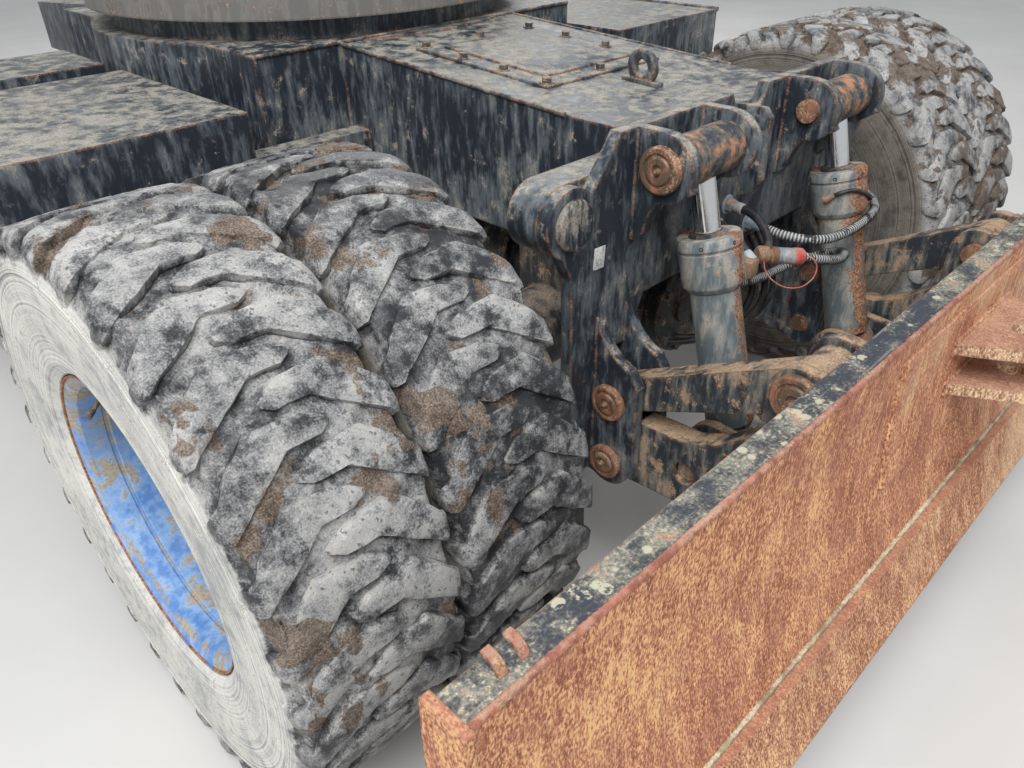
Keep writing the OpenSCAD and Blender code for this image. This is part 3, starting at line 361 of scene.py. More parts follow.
# A turned piece has a profile of places along its axis and radii there, in millimetres
def turned(name, profile, place=(0, 0, 0), along=(0, 0, 1), steps=40):
    made = outline_object(name, [(radius / 1000, 0, reach / 1000) for reach, radius in profile], "NOTHING")
    shape(spun(steps, (0, 0, 1)), merged(0.00002), ("delete_loose", {}), outward)
    made.data.transform(aimed(place, along))
    return smooth(made)


def copy_of(piece):
    made = piece.copy()
    made.data = piece.data.copy()
    scene.collection.objects.link(made)
    return made


def copies(name, master, places):
    made = []
    for place, along in places:
        made.append(copy_of(master))
        made[-1].data.transform(aimed(place, along))
    bpy.data.objects.remove(master)
    return join(name, made)


def hex_bolt(size, height):
    choose()
    bpy.ops.mesh.primitive_cylinder_add(vertices=6, radius=size / math.sqrt(3), depth=height,
                                        location=(0, 0, height / 2 + size * 0.1))
    head = bpy.context.object
    bpy.ops.object.transform_apply(location=True, rotation=True, scale=True)
    shape(bevelled(size * 0.06, 1))
    side = [(0, 0), (0, 800), (70, 800), (120, 740), (120, 0)]
    washer = turned("washer", [(reach * size, radius * size) for reach, radius in side], steps=18)
    return join("hex_bolt", [head, washer])


def run(corners, step=0.004):
    points = []
    for a, b in zip(corners, corners[1:]):
        count = max(int((b - a).length / step), 1)
        points += [a.lerp(b, k / count) for k in range(count)]
    return points + [corners[-1]]


def tube(name, paths, radius, ripple=0.0, roundness=2):
    curve = bpy.data.curves.new(name, "CURVE")
    curve.dimensions = "3D"
    curve.bevel_depth = radius
    curve.bevel_resolution = roundness
    curve.use_fill_caps = True
    for path in paths:
        line = curve.splines.new("POLY")
        line.points.add(len(path) - 1)
        for k, (point, place) in enumerate(zip(line.points, path)):
            point.co = (*place, 1)
            point.radius = 1 - ripple * (k % 2)
    made = bpy.data.objects.new(name, curve)
    scene.collection.objects.link(made)
    choose(made)
    bpy.ops.object.convert(target="MESH")
    return smooth(bpy.context.object, 60)


def weld(name, paths, finish, radius=0.0045, body="chassis"):
    made = tube(name, [run(path) for path in paths], radius, 0.16, 1)
    for vertex in made.data.vertices:
        vertex.co += noise.noise_vector(vertex.co * 90) * 0.0012
    return belongs(made, finish, body)


# Fillet welds hold the cheeks, the lugs and the cross beam of the bracket, and the boxes of the chassis.
# The cheeks meet the front plate from their lower edge to the notch above the links.
plate_face = -291.5
cheek_seams = ((459, 350, 698), (345, 350, 640), (371, 830, 1030), (343, 830, 915), (173, 830, 915),
               (145, 830, 1030))
seams = [[spot(sign * x, plate_face, low), spot(sign * x, plate_face, high)]
         for sign in (-1, 1) for x, low, high in cheek_seams]
weld("bracket_welds", seams, black_paint)
beam_half, deck_edge = 300, 705
seams = [[spot(-540, deck_edge - 21, 1050.5), spot(540, deck_edge - 21, 1050.5)]]
for side in (-beam_half, beam_half):
    outer = side * 1.005
    seams.append([spot(side, -60, 1000.5), spot(side, deck_edge, 1047.5)])
    seams.append([spot(side, deck_edge - 21.5, 1045), spot(side, deck_edge - 21.5, 725)])
    seams.append([spot(outer, -190, 960), spot(outer, -190, 905)])
weld("chassis_welds", seams, black_paint, 0.006)

# An access cover over the pipes lies on the sloping top of the beam, on ten bolts, behind a lifting eye.
slope = 48 / 750
cover_y = 300
cover = block("cover", spot(0, cover_y, 4), (0.40, 0.44, 0.008), 0.0025)
strip = block("cover_strip", spot(0, cover_y, 10), (0.30, 0.34, 0.006), 0.002)
cover = join("access_cover", [cover, strip])
bolt_grid = [(x, y) for x in (-180, 0, 180) for y in (-200, -67, 67, 200) if x or abs(y) > 100]
cover_bolts = copies("cover_bolts", hex_bolt(0.019, 0.011),
                     [(spot(x, cover_y + y, 8), (0, 0, 1)) for x, y in bolt_grid])
eye_profile = [(-9, 20), (-9, 34), (-6, 38), (6, 38), (9, 34), (9, 20), (6, 17), (-6, 17)]
eye_ring = turned("lifting_eye", eye_profile, spot(0, -20, 36), (1, 0, 0))
eye_foot = block("eye_foot", spot(0, -20, 4), (0.024, 0.10, 0.014), 0.003)
for piece in (cover, cover_bolts, eye_ring, eye_foot):
    for vertex in piece.data.vertices:
        along = (vertex.co.y - blade_axle) * 1000
        vertex.co.z += (1000.5 + max(along + 45, 0) * slope) / 1000
belongs(join("lifting_eye", [eye_ring, eye_foot]), black_paint)
belongs(cover, black_paint)
dusty_bolt = painted_plate("dusty_bolts", (0.05, 0.05, 0.052), (0.12, 0.11, 0.10), (0.26, 0.22, 0.17), 0.05,
                           0.5, 0.5, 0.002)
belongs(cover_bolts, dusty_bolt)

# A stiffening rib stands on the bracket's front plate between the cylinders, and a blank white plate is
# riveted beside the near cheek.
rib_side = ((-286, 812), (-322, 826), (-344, 858), (-344, 985), (-330, 1003), (-252, 1003))
rib = outline_object("rib", [spot(-7, y, z) for y, z in rib_side])
shape(pulled((0.014, 0, 0)), outward, bevelled(0.0015, 2))
belongs(smooth(rib), black_paint).name = "bracket_rib"
label_finish, tree, shader = new_finish("white_label", {"Roughness": 0.55})
place = add(tree, "TexCoord").outputs["Object"]
tone = grain(place, 160.0, 5.0)
tone = ramp(tone, (0.34, (0.22, 0.21, 0.2)), (0.46, (0.62, 0.62, 0.6)), (0.7, (0.74, 0.74, 0.72)))
feed(shader.inputs["Base Color"], tone)
label_at = spot(-461, -290.8, 820)
label = block("blank_label", label_at, (0.030, 0.0016, 0.042), 0.0006)
lean = Matrix.Rotation(0.06, 4, "Y")
label.data.transform(Matrix.Translation(label_at) @ lean @ Matrix.Translation(-label_at))
belongs(label, label_finish)

# The slewing ring, the swivel joint, the axles and the gearbox are steel and iron castings in thin
# dark paint under grease and road dust. Low bolt heads hold the inner ring down.
casting = painted_plate("dark_casting", (0.03, 0.032, 0.035), (0.08, 0.077, 0.072), (0.24, 0.20, 0.155),
                        0.03, 0.55, 0.6, 0.007)
for name in ("swivel_joint", "blade_axle", "gearbox", "drive_shaft", "steer_axle", "knuckle_left",
             "knuckle_right", "steer_cylinder"):
    dress(name, casting)
ring_steel = painted_plate("greased_ring_steel", (0.16, 0.155, 0.145), (0.23, 0.22, 0.205),
                           (0.10, 0.082, 0.062), 0.02, 0.55, 0.2)
for name in ("slew_inner_ring", "slew_outer_ring"):
    dress(name, ring_steel)
ring_low, ring_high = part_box("slew_inner_ring")


def circle_of(count, radius, start=0):
    turns = [math.radians(start + 360 * k / count) for k in range(count)]
    return [(radius * math.cos(turn), radius * math.sin(turn)) for turn in turns]


ring_top = Vector((0, (ring_low.y + ring_high.y) / 2, ring_high.z - 0.001))
ring_places = [(ring_top + Vector((x, y, 0)), (0, 0, 1)) for x, y in circle_of(36, 0.552, 5)]
belongs(copies("ring_bolts", hex_bolt(0.024, 0.005), ring_places), ring_steel, "chassis")
axle_z = joint_at["blade_left_spin"].z * 1000
cover_places = [(spot(x, -189.5, axle_z + z), (0, -1, 0)) for x, z in circle_of(10, 100)]
belongs(copies("axle_cover_bolts", hex_bolt(0.019, 0.012), cover_places), dusty_bolt, "chassis")

# The tyres are ribbed with dog-leg lugs from each shoulder that meet in the middle. They are dark rubber
# under dried pale clay, with brown mud packed in the grooves. One lug is modelled flat and wrapped round.
tyre_low, tyre_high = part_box("tyres_blade_left")
tyre_radius = (tyre_high.z - tyre_low.z) / 2
tyre_width = 0.283
outer_tyre = -tyre_low.x - tyre_width / 2
inner_tyre = -tyre_high.x + tyre_width / 2
lugs_round = 32
lug_pitch = 2 * math.pi * tyre_radius / lugs_round
crown_half = 0.118
crown_drop = 0.0035
corner = tyre_width / 2 - crown_half
wall_start = crown_half + corner * math.pi / 2
lug_end = wall_start + 0.030
tread_depth = 0.016


def tread_point(u, height):
    side = math.copysign(1.0, u)
    u = abs(u)
    shoulder = tyre_radius - crown_drop
    if u <= crown_half:
        out, radius, nx, nr = u, tyre_radius - crown_drop * (u / crown_half) ** 2, 0.0, 1.0
    elif u <= wall_start:
        turn = (u - crown_half) / corner
        nx, nr = math.sin(turn), math.cos(turn)
        out, radius = crown_half + corner * nx, shoulder - corner + corner * nr
    else:
        out, radius, nx, nr = tyre_width / 2, shoulder - corner - (u - wall_start), 1.0, 0.0
    return side * (out + height * nx), radius + height * nr


def groove_depth(u):
    fade = min(max((lug_end + 0.004 - abs(u)) / 0.035, 0.0), 1.0)
    return tread_depth * fade * fade * (3 - 2 * fade)


def wrap(u, s, height):
    out, radius = tread_point(u, height)
    angle = s / tyre_radius
    return Vector((out, -radius * math.sin(angle), radius * math.cos(angle)))


# Flat outline of one lug in millimetres, across the tread and along it, with its bend
lug_outline = [(-36, 4), (-20, -7), (-2, -16), (30, -19), (68, -21), (100, 9), (133, 41), (152, 50),
               (172, 54), (182, 61), (184, 70), (180, 79), (165, 86), (150, 90), (133, 90), (80, 55),
               (32, 21), (-17, 21), (-34, 11)]
lug = outline_object("lug", [(u / 1000, s / 1000, 0) for u, s in lug_outline])
grid_step = 0.010
cuts = [("bisect", {"plane_co": (k * grid_step, 0, 0), "plane_no": (1, 0, 0)}) for k in range(-3, 19)]
cuts += [("bisect", {"plane_co": (0, k * grid_step, 0), "plane_no": (0, 1, 0)}) for k in range(-2, 9)]
shape(pulled((0, 0, 1)), outward, *cuts)
lug_top = {v.index for v in lug.data.vertices if v.co.z > 0.5}
rim_edges = {}
for face in lug.data.polygons:
    for key in face.edge_keys:
        if key[0] in lug_top and key[1] in lug_top:
            rim_edges.setdefault(key, []).append(face.normal.z > 0.5)
edge_points = {i for key, ups in rim_edges.items() if sum(ups) == 1 for i in key}
# The crest mark carries painted light: 1 on each lug's top edges for a painted highlight, -1 at its foot for
# painted shade.
crest = lug.data.attributes.new("crest", "FLOAT", "POINT")
middle = Vector((0.075, 0.035))
foot_spread = 0.0035
for vertex in lug.data.vertices:
    depth = groove_depth(vertex.co.x)
    if vertex.index not in lug_top:
        away = (vertex.co.xy - middle).normalized() * foot_spread
        vertex.co.x += away.x
        vertex.co.y += away.y
        vertex.co.z = -depth - 0.004
        crest.data[vertex.index].value = -1.0
    else:
        vertex.co.z = -0.0025 if vertex.index in edge_points else 0.0
        crest.data[vertex.index].value = 1.0 if vertex.index in edge_points else 0.0
other_lug = copy_of(lug)
for vertex in lug.data.vertices:
    vertex.co = wrap(vertex.co.x, vertex.co.y, vertex.co.z)
for vertex in other_lug.data.vertices:
    vertex.co = wrap(-vertex.co.x, vertex.co.y + lug_pitch / 2, vertex.co.z)
other_lug.data.flip_normals()
turner = bpy.data.objects.new("turner", None)
scene.collection.objects.link(turner)
turner.rotation_euler.x = 2 * math.pi / lugs_round
bpy.context.view_layer.update()
for half in (lug, other_lug):
    ring = half.modifiers.new("ring", "ARRAY")
    ring.count = lugs_round
    ring.use_relative_offset = False
    ring.use_object_offset = True
    ring.offset_object = turner
    choose(half)
    bpy.ops.object.modifier_apply(modifier="ring")
bpy.data.objects.remove(turner)

# The carcass is the grooves' floor, side walls with a mould line, a swelling over the rim, and the inside
wall_r = tyre_radius - crown_drop - corner
carcass_half = [tread_point(u / 1000, -groove_depth(u / 1000)) for u in range(0, 190, 9)]
side_wall = [
    (140.3, 452), (140.2, 448.5), (141.5, 447.5), (141.5, 445.5), (140.1, 444.5), (140, 420),
    (140.5, 395), (139, 370), (136.8, 345), (134, 325), (133.5, 316), (134.5, 309), (133.8, 301),
    (130.5, 293), (126.2, 286), (122.8, 280), (120.5, 276.2), (115, 275.5), (108.5, 262), (108, 254.5),
    (90, 254.5), (112, 300), (118, 400), (90, 445), (0, 460)]
carcass_half += [(x / 1000, r / 1000) for x, r in side_wall]
ring_points = carcass_half + [(-x, r) for x, r in reversed(carcass_half[1:-1])]
carcass = outline_object("carcass", [(x, 0, r) for x, r in ring_points], "NOTHING")
steps_round = 288
shape(spun(steps_round, (1, 0, 0)), merged(0.00005), outward)


def envelope(x):
    x = abs(x)
    if x <= crown_half:
        return tyre_radius - crown_drop * (x / crown_half) ** 2
    reach = min(x - crown_half, corner)
    return wall_r + math.sqrt(max(corner * corner - reach * reach, 0.0))


# Brown soil sticks in patches, and thickest where the tyre last rolled through it
def soil_at(point):
    angle = math.degrees(math.atan2(-point.y, point.z))
    heap = 0.26 * math.exp(-((angle - 50) / 15) ** 2)
    value = noise.fractal(point * 7.5, 0.8, 2.0, 5) * 0.8 + heap
    return min(max((value - 0.33) / 0.20, 0.0), 1.0)


for vertex in carcass.data.vertices:
    radius = math.hypot(vertex.co.y, vertex.co.z)
    room = envelope(vertex.co.x) - radius
    if radius < 0.47 or room < 0.004:
        continue
    around = vertex.co / radius
    packed = noise.fractal(vertex.co * 14, 1.0, 2.0, 3) + 0.12
    crumbs = noise.fractal(vertex.co * 90, 0.8, 2.0, 3) * 0.0022
    fill = max(min(max(packed, 0.0) * 1.1, 0.6), soil_at(vertex.co) * 0.8)
    lift = fill * room + crumbs
    vertex.co.y += around.y * lift
    vertex.co.z += around.z * lift

tyre = join("tyre", [carcass, lug, other_lug])
kinds = ("soil", "tread", "wall", "ring")
for kind in kinds:
    tyre.data.attributes.new(kind, "FLOAT", "POINT")
soil, tread, wall, ring_r = [tyre.data.attributes[kind] for kind in kinds]
for vertex in tyre.data.vertices:
    radius = math.hypot(vertex.co.y, vertex.co.z)
    if radius > 0.46:
        amount = soil_at(vertex.co)
        soil.data[vertex.index].value = amount
        lumps = noise.noise_vector(vertex.co * 17) * 0.0018
        vertex.co += noise.noise_vector(vertex.co * 55) * 0.0016 + lumps
        clod = max(noise.fractal(vertex.co * 45, 0.8, 2.0, 3), 0.0) * amount * 0.004
        radius = math.hypot(vertex.co.y, vertex.co.z)
        reach = min(1 + clod / radius, tyre_radius / radius)
        across_x = min(max(vertex.co.x, -tyre_width / 2), tyre_width / 2)
        vertex.co = (across_x, vertex.co.y * reach, vertex.co.z * reach)
for vertex in tyre.data.vertices:
    radius = math.hypot(vertex.co.y, vertex.co.z)
    below = envelope(vertex.co.x) - radius if radius > wall_r else 0.0
    tread.data[vertex.index].value = min(max(1 - below / tread_depth, 0.0), 1.0)
    wall.data[vertex.index].value = min(max((0.476 - radius) / 0.02, 0.0), 1.0)
    ring_r.data[vertex.index].value = radius
smooth(tyre, 38)


def clay_rubber(name, pale, brown, wall_tone):
    material, tree, shader = new_finish(name, {"Specular IOR Level": 0.3})
    place = add(tree, "TexCoord").outputs["Object"]
    height, side, radius, soil, crest = [add(tree, "Attribute", attribute_name=kind).outputs["Fac"]
                                         for kind in ("tread", "wall", "ring", "soil", "crest")]
    broad = grain(place, 6.0, 3.0)
    patch = grain(place, 27.0, 5.0, 0.70)
    speck = grain(place, 380.0, 1.0)
    spread = mixed(patch, 0.55, broad, 0.31, speck, 0.14, height, 0.035)
    colour = ramp(spread, (0.452 - pale, (0.032, 0.033, 0.036)), (0.488 - pale, (0.085, 0.086, 0.088)),
                  (0.522 - pale, (0.19, 0.19, 0.192)), (0.560 - pale, (0.34, 0.338, 0.335)),
                  (0.615 - pale, (0.53, 0.52, 0.50)))
    # Painted shade: the lower part of each lug's walls, down to its foot, is darkened almost to black.
    colour = blend(times(mask(crest, 0.1, -0.5), 0.8), colour, (0.028, 0.028, 0.03))
    # Painted highlight: the lugs' top edges are lightened to a pale clay colour where clay lies.
    crest_share = times(mask(crest, 0.45, 0.95), mask(patch, 0.46, 0.56))
    colour = blend(times(crest_share, 0.55), colour, (0.46, 0.44, 0.40))
    swirl = add(tree, "TexNoise", {"Vector": place, "Scale": 30.0}).outputs["Color"]
    bent = add(tree, "VectorMath", {0: place, 1: swirl, 2: (0.03, 0.03, 0.03)}, operation="MULTIPLY_ADD")
    cells = add(tree, "TexVoronoi", {"Vector": bent.outputs[0], "Scale": 42.0}, feature="DISTANCE_TO_EDGE")
    crack = times(mask(cells.outputs["Distance"], 0.055, 0.0), mask(patch, 0.5, 0.56))
    colour = blend(times(crack, 0.75), colour, (0.05, 0.048, 0.046))
    dots = add(tree, "TexVoronoi", {"Vector": place, "Scale": 95.0}).outputs["Distance"]
    dot = times(mask(times_add(speck, 0.5, dots), 0.50, 0.40), mask(broad, 0.46, 0.56))
    colour = blend(times(dot, 0.65), colour, (0.085, 0.07, 0.058))
    brown_tone = ramp(mixed(speck, 0.5, patch, 0.5), (0.36, (0.055, 0.038, 0.028)),
                      (0.5, (0.15, 0.112, 0.085)), (0.62, (0.29, 0.235, 0.19)))
    stray = grain(stretched(place, (1, 1, 1), (3.1, 1.7, 0.4)), 10.0, 4.0, 0.62)
    stray = mask(times_add(height, -0.09, stray), 0.53 - brown, 0.58 - brown)
    lump = mask(times_add(patch, 1.3, soil), 1.16, 1.34)
    soil_share = times(most(stray, lump), 0.92)
    colour = blend(soil_share, colour, brown_tone)
    rings = add(tree, "CombineXYZ", {"X": times(radius, 230.0)}).outputs["Vector"]
    ring_lines = grain(rings, 1.0, 4.0)
    smear = mixed(ring_lines, 0.45, patch, 0.35, broad, 0.2)
    dark_tone, mid_tone, light_tone = wall_tone
    cream = ramp(smear, (0.42, dark_tone), (0.485, mid_tone), (0.56, light_tone))
    scuff = times(mask(mixed(speck, 0.35, patch, 0.65), 0.555, 0.60), 0.55)
    cream = blend(scuff, cream, tuple(c * 0.55 for c in dark_tone))
    mould_line = mask(calc("ABSOLUTE", calc("SUBTRACT", radius, 0.4438)), 0.0016, 0.0004)
    mould_line = most(mould_line, mask(radius, 0.279, 0.2755))
    cream = blend(times(mould_line, 0.6), cream, (0.09, 0.085, 0.08))
    wall_share = times(side, mask(times_add(side, 0.5, patch), 0.60, 0.80))
    colour = blend(wall_share, colour, cream)
    dull = most(mask(spread, 0.44 - pale, 0.56 - pale), most(side, soil_share))
    quiet = times_add(side, -0.85, 1.0)
    relief = mixed(patch, 1.0, soil_share, 0.5, speck, 0.15, crack, -0.35)
    relief = mixed(relief, quiet, ring_lines, times(side, 0.10))
    finish_surface(shader, colour, dull, relief, 0.0045)
    return material


cream_wall = ((0.33, 0.345, 0.355), (0.60, 0.585, 0.54), (0.79, 0.775, 0.715))
muddy_wall = ((0.085, 0.078, 0.07), (0.16, 0.145, 0.125), (0.27, 0.24, 0.20))
near_clay = clay_rubber("clay_on_rubber", 0.010, -0.015, cream_wall)
# The inner tyres carry thinner clay, and it is darkened further as painted shade of the counterweight above
# them.
thin_clay_and_painted_shade = clay_rubber("thin_clay_and_painted_shade_on_rubber", -0.028, -0.01, muddy_wall)
far_clay = clay_rubber("mud_on_rubber", 0.034, 0.10, muddy_wall)
for end, axle in (("blade", blade_axle), ("steer", steer_axle)):
    for side, sign in (("left", -1), ("right", 1)):
        pair = []
        for k, across_x in enumerate((inner_tyre, outer_tyre)):
            one = copy_of(tyre)
            turn = Matrix.Rotation(0.35 * k + (0.2 if side == "left" else 0.9), 4, "X")
            one.data.transform(Matrix.Translation((sign * across_x, axle, tyre_radius)) @ turn)
            one.data.materials.clear()
            one.data.materials.append((near_clay if k else thin_clay_and_painted_shade) if side == "left" else far_clay)
            pair.append(one)
        twin = join("twin_tyres_" + end + "_" + side, pair)
        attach(twin, end + "_wheels_" + side)
        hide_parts("tyres_" + end + "_" + side)
bpy.data.objects.remove(tyre)

# The rims are rolled and welded steel in blue paint: two barrels with turned-up flanges on one spacer, a
# disc, and the planetary hub. The lips have rusted, and beige dirt has washed into the dish. Nuts hold the
# disc. Each stretch of the outline starts from one of the rim's planes, in millimetres.
outer_edge = outer_tyre * 1000 + 122
inner_edge = inner_tyre * 1000 - 122
disc_x = inner_tyre * 1000 + 71
rim_stretches = (
    (outer_edge, ((-3, 271), (-1.5, 270.5), (0, 272), (0, 273.5), (-2, 274), (-5, 272), (-13, 255),
                  (-15, 254))),
    (0, ((1028, 254), (1018, 272), (1014, 272), (1016, 249), (964, 249), (966, 272), (962, 272),
         (952, 254))),
    (inner_edge, ((15, 254), (13, 255), (5, 272), (2, 274), (0, 273.5), (0, 272), (3, 269), (9, 256),
                  (16, 248.5), (28, 246))),
    (disc_x, ((-4, 246), (0, 240), (0, 143))),
    (0, ((710, 142), (710, 62.5), (944, 62.5), (944, 40))),
    (disc_x, ((215, 0.5), (217, 0.5), (217, 84), (214, 89), (192, 91), (190, 94), (190, 123), (184, 129),
              (44, 131), (30, 137), (22, 150), (16, 156), (16, 214), (22, 226), (34, 236), (50, 243),
              (66, 246))),
    (outer_edge, ((-62, 246), (-60, 248), (-54, 248), (-52, 246), (-26, 246), (-15, 248.5), (-8, 257))))
rim_profile = [(start + x, radius) for start, points in rim_stretches for x, radius in points]


def blue_rim(name, axle):
    material, tree, shader = new_finish(name, {"Specular IOR Level": 0.4})
    coordinates = add(tree, "TexCoord")
    place = coordinates.outputs["Object"]
    radius = span(stretched(place, (0, 1, 1), (0, -axle, -tyre_radius)))
    out = calc("ABSOLUTE", part(place, "X"))
    broad = grain(place, 7.0, 5.0)
    middle = grain(place, 28.0, 8.0, 0.7)
    fine = grain(place, 170.0, 4.0)
    facing = part(coordinates.outputs["Normal"], "Z")
    coat = ramp(mixed(broad, 0.5, middle, 0.5), (0.40, (0.11, 0.25, 0.57)), (0.50, (0.26, 0.43, 0.72)),
                (0.60, (0.52, 0.64, 0.80)))
    shaded = times(mask(facing, 0.3, -0.6), mask(middle, 0.40, 0.52))
    coat = blend(times(shaded, 0.75), coat, (0.19, 0.19, 0.185))
    dirt = ramp(mixed(fine, 0.5, middle, 0.5), (0.35, (0.17, 0.135, 0.10)), (0.5, (0.36, 0.31, 0.24)),
                (0.64, (0.52, 0.46, 0.37)))
    deep = mask(out, 1.225, 1.06)
    share = mask(mixed(middle, 0.55, broad, 0.45, deep, 0.10), 0.525, 0.575)
    seam = times(mask(radius, 0.2465, 0.2485), mask(radius, 0.262, 0.252))
    share = most(share, times(seam, mask(middle, 0.46, 0.54)))
    colour = blend(share, coat, dirt)
    chips = mask(mixed(middle, 0.6, fine, 0.4), 0.61, 0.65)
    lip = times(mask(radius, 0.2675, 0.2705), mask(middle, 0.34, 0.44))
    rust = most(chips, lip)
    rust_tone = ramp(fine, (0.3, (0.13, 0.05, 0.03)), (0.5, (0.34, 0.15, 0.08)), (0.7, (0.52, 0.31, 0.18)))
    colour = blend(rust, colour, rust_tone)
    height = mixed(share, 0.5, middle, 0.5, rust, -0.3)
    finish_surface(shader, colour, most(share, most(rust, 0.35)), height, 0.002)
    return material


valve = [(0, 0), (0, 6), (12, 6), (14, 4.2), (40, 4.2), (41, 5.5), (56, 5.5), (58, 3), (58, 0)]
for end, axle in (("blade", blade_axle), ("steer", steer_axle)):
    blue_paint = blue_rim("blue_rim_" + end, axle)
    for side, sign in (("left", -1), ("right", 1)):
        hub = Vector((0, axle, tyre_radius))
        out_way = Vector((sign, 0, 0))
        rim = turned("twin_rims_" + end + "_" + side, rim_profile, hub, out_way, 96)
        belongs(rim, blue_paint, end + "_wheels_" + side)
        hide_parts("rims_" + end + "_" + side)
        dress("rims_" + end + "_" + side, blue_paint)
        nut_places = []
        for count, reach, radius in ((10, 15.5, 0.185), (6, 189, 0.108)):
            foot = hub + out_way * (disc_x + reach) / 1000
            nut_places += [(foot + Vector((0, y, z)), out_way) for y, z in circle_of(count, radius)]
        belongs(copies("wheel_nuts_" + end + "_" + side, hex_bolt(0.030, 0.020), nut_places), dusty_bolt,
                end + "_wheels_" + side)
        stem_foot = hub + out_way * (outer_edge - 58) / 1000 + Vector((0, 0.169, 0.169))
        stem = turned("valve_" + end + "_" + side, valve, stem_foot, out_way + Vector((0, -0.5, -0.5)), 16)
        belongs(stem, dusty_bolt, end + "_wheels_" + side)

# The pins are bare steel, rusted orange, each locked by a thick collar with a grease nipple in the middle.
# The hanger bosses on the bracket have a flat worn face.
top_pin, low_pin = (-347, 971), (-497, 418)
hinges = ((-331, 525), (-331, 380))
blade_pins = ((-698, 702), (-698, 557))
pin_rust = painted_plate("rusted_pins", (0.13, 0.085, 0.055), (0.34, 0.15, 0.09), (0.36, 0.27, 0.19), 0.09,
                         0.35, 0.2, 0.003, 0.003)
old_pin = painted_plate("olive_pins", (0.10, 0.075, 0.05), (0.30, 0.13, 0.08), (0.30, 0.25, 0.16), 0.03, 0.6,
                        0.2, 0.003, 0.003)
clay_rust = painted_plate("clay_on_rust", (0.24, 0.15, 0.10), (0.40, 0.31, 0.23), (0.42, 0.34, 0.26), 0.0,
                          0.6, 0.2, 0.003, 0.003)
for name in ("bracket_pins", "arm_pins", "blade_pins"):
    dress(name, pin_rust)


def collar(place, along, outside, thick, pin):
    rim = [(0, 0), (0, outside - 1.5), (1.5, outside), (thick - 3.5, outside), (thick, outside - 3.5),
           (thick, pin + 5), (thick - 6, pin + 3.5), (thick - 6, 0)]
    end = [(-8, 0), (-8, pin), (-2, pin), (1.5, pin - 3), (1.5, 12), (-1.5, 10.5), (-1.5, 5.5), (4, 5.5),
           (4.5, 4.2), (8.5, 3.6), (10, 2), (10, 0)]
    end = [(thick + reach, radius) for reach, radius in end]
    return turned("collar", rim, place, along), turned("pin_end", end, place, along)


# Columns: outer face of the pin's seat, pin, collar's radius and thickness, and the pin's radius
collars = {
    "bracket": ("chassis", old_pin, ((369.3, top_pin, 42, 15, 26), (457.3, hinges[0], 38.5, 14, 24),
                                     (457.3, hinges[1], 37.5, 14, 23.5))),
    "blade": ("dozer_blade", pin_rust, ((457.3, blade_pins[0], 44, 14, 27.5),
                                        (457.3, blade_pins[1], 40, 14, 25)))}
for group, (body, pin_finish, rows) in collars.items():
    made = [collar(spot(sign * x, *pin), (sign, 0, 0), outside, thick, pin_radius)
            for sign in (-1, 1) for x, pin, outside, thick, pin_radius in rows]
    belongs(join(group + "_collars", [rim for rim, end in made]), pin_rust, body)
    belongs(join(group + "_pin_ends", [end for rim, end in made]), pin_finish, body)
boss = [(0, 0), (0, 43.5), (2, 45), (9, 45), (12.5, 42), (13.5, 36), (12.5, 22), (12.5, 0)]
boss_paint = painted_plate("worn_boss", (0.024, 0.030, 0.040), (0.10, 0.11, 0.12), (0.42, 0.37, 0.29), 0.02,
                           0.8, 0.3, 0.004)
bosses = [turned("boss", boss, spot(x, -290.3, 905), (0, -1, 0)) for x in (-536, 536)]
belongs(join("hanger_bosses", bosses), boss_paint, "chassis")

# A dusty bung closes the bore of each lower arm, level with the cylinders' lower pins.
bung = [(0, 0), (0, 23.8), (34, 23.8), (36, 21.5), (34, 19), (36, 12), (36, 0)]
bungs = [turned("bung", bung, spot(sign * 378, *low_pin), (sign, 0, 0), 32) for sign in (-1, 1)]
belongs(join("arm_bungs", bungs), clay_rust, "arms")

# The cylinders have painted barrels with a screwed head, a cap ring with holes for a pin spanner and a dark
# wiper, and bright chromed rods. Their length comes from the pins in the bracket and the lower arms.
rusted_bands = ((-0.266, -0.240), (0.226, 0.300))
barrel_paint = painted_plate("barrel_paint", (0.125, 0.150, 0.160), (0.28, 0.29, 0.275), (0.42, 0.37, 0.31),
                             0.02, 0.45, 0.4, 0.004, 0.0015, rusted_bands)
dress("cylinder_barrels", barrel_paint)
chrome, tree, shader = new_finish("chrome", {})
place = add(tree, "TexCoord").outputs["Object"]
from_eye = span(stretched(place, (0, 1, 1), -spot(0, *top_pin)))
bright = most(mask(from_eye, 0.0470, 0.0490), mask(part(place, "Z"), 0.62, 0.60))
crust = grain(place, 34.0, 9.0, 0.72)
smear = grain(stretched(place, (1, 1, 0.2)), 160.0)
eye_tone = ramp(crust, (0.42, (0.032, 0.038, 0.046)), (0.50, (0.10, 0.105, 0.10)),
                (0.545, (0.22, 0.125, 0.075)), (0.60, (0.40, 0.20, 0.11)))
feed(shader.inputs["Base Color"], blend(bright, eye_tone, (0.84, 0.84, 0.83)))
feed(shader.inputs["Metallic"], bright)
dull = mixed(smear, 0.55, bright, -0.45)
limits = {"From Min": -0.2, "From Max": 0.2, "To Min": 0.12, "To Max": 0.75}
feed(shader.inputs["Roughness"], add(tree, "MapRange", {"Value": dull, **limits}).outputs["Result"])
dress("cylinder_rods", chrome)
dress("steer_rods", chrome)
wiper_rubber = painted_plate("wiper_rubber", (0.02, 0.02, 0.021), (0.05, 0.05, 0.05), (0.15, 0.13, 0.11),
                             -0.1, 0.4, 0.4, 0.002)
cylinder_x = 258
rod_way = spot(0, *top_pin) - spot(0, *low_pin)
bare_rod = 0.146
head_top = rod_way.length - bare_rod
rod_way.normalize()
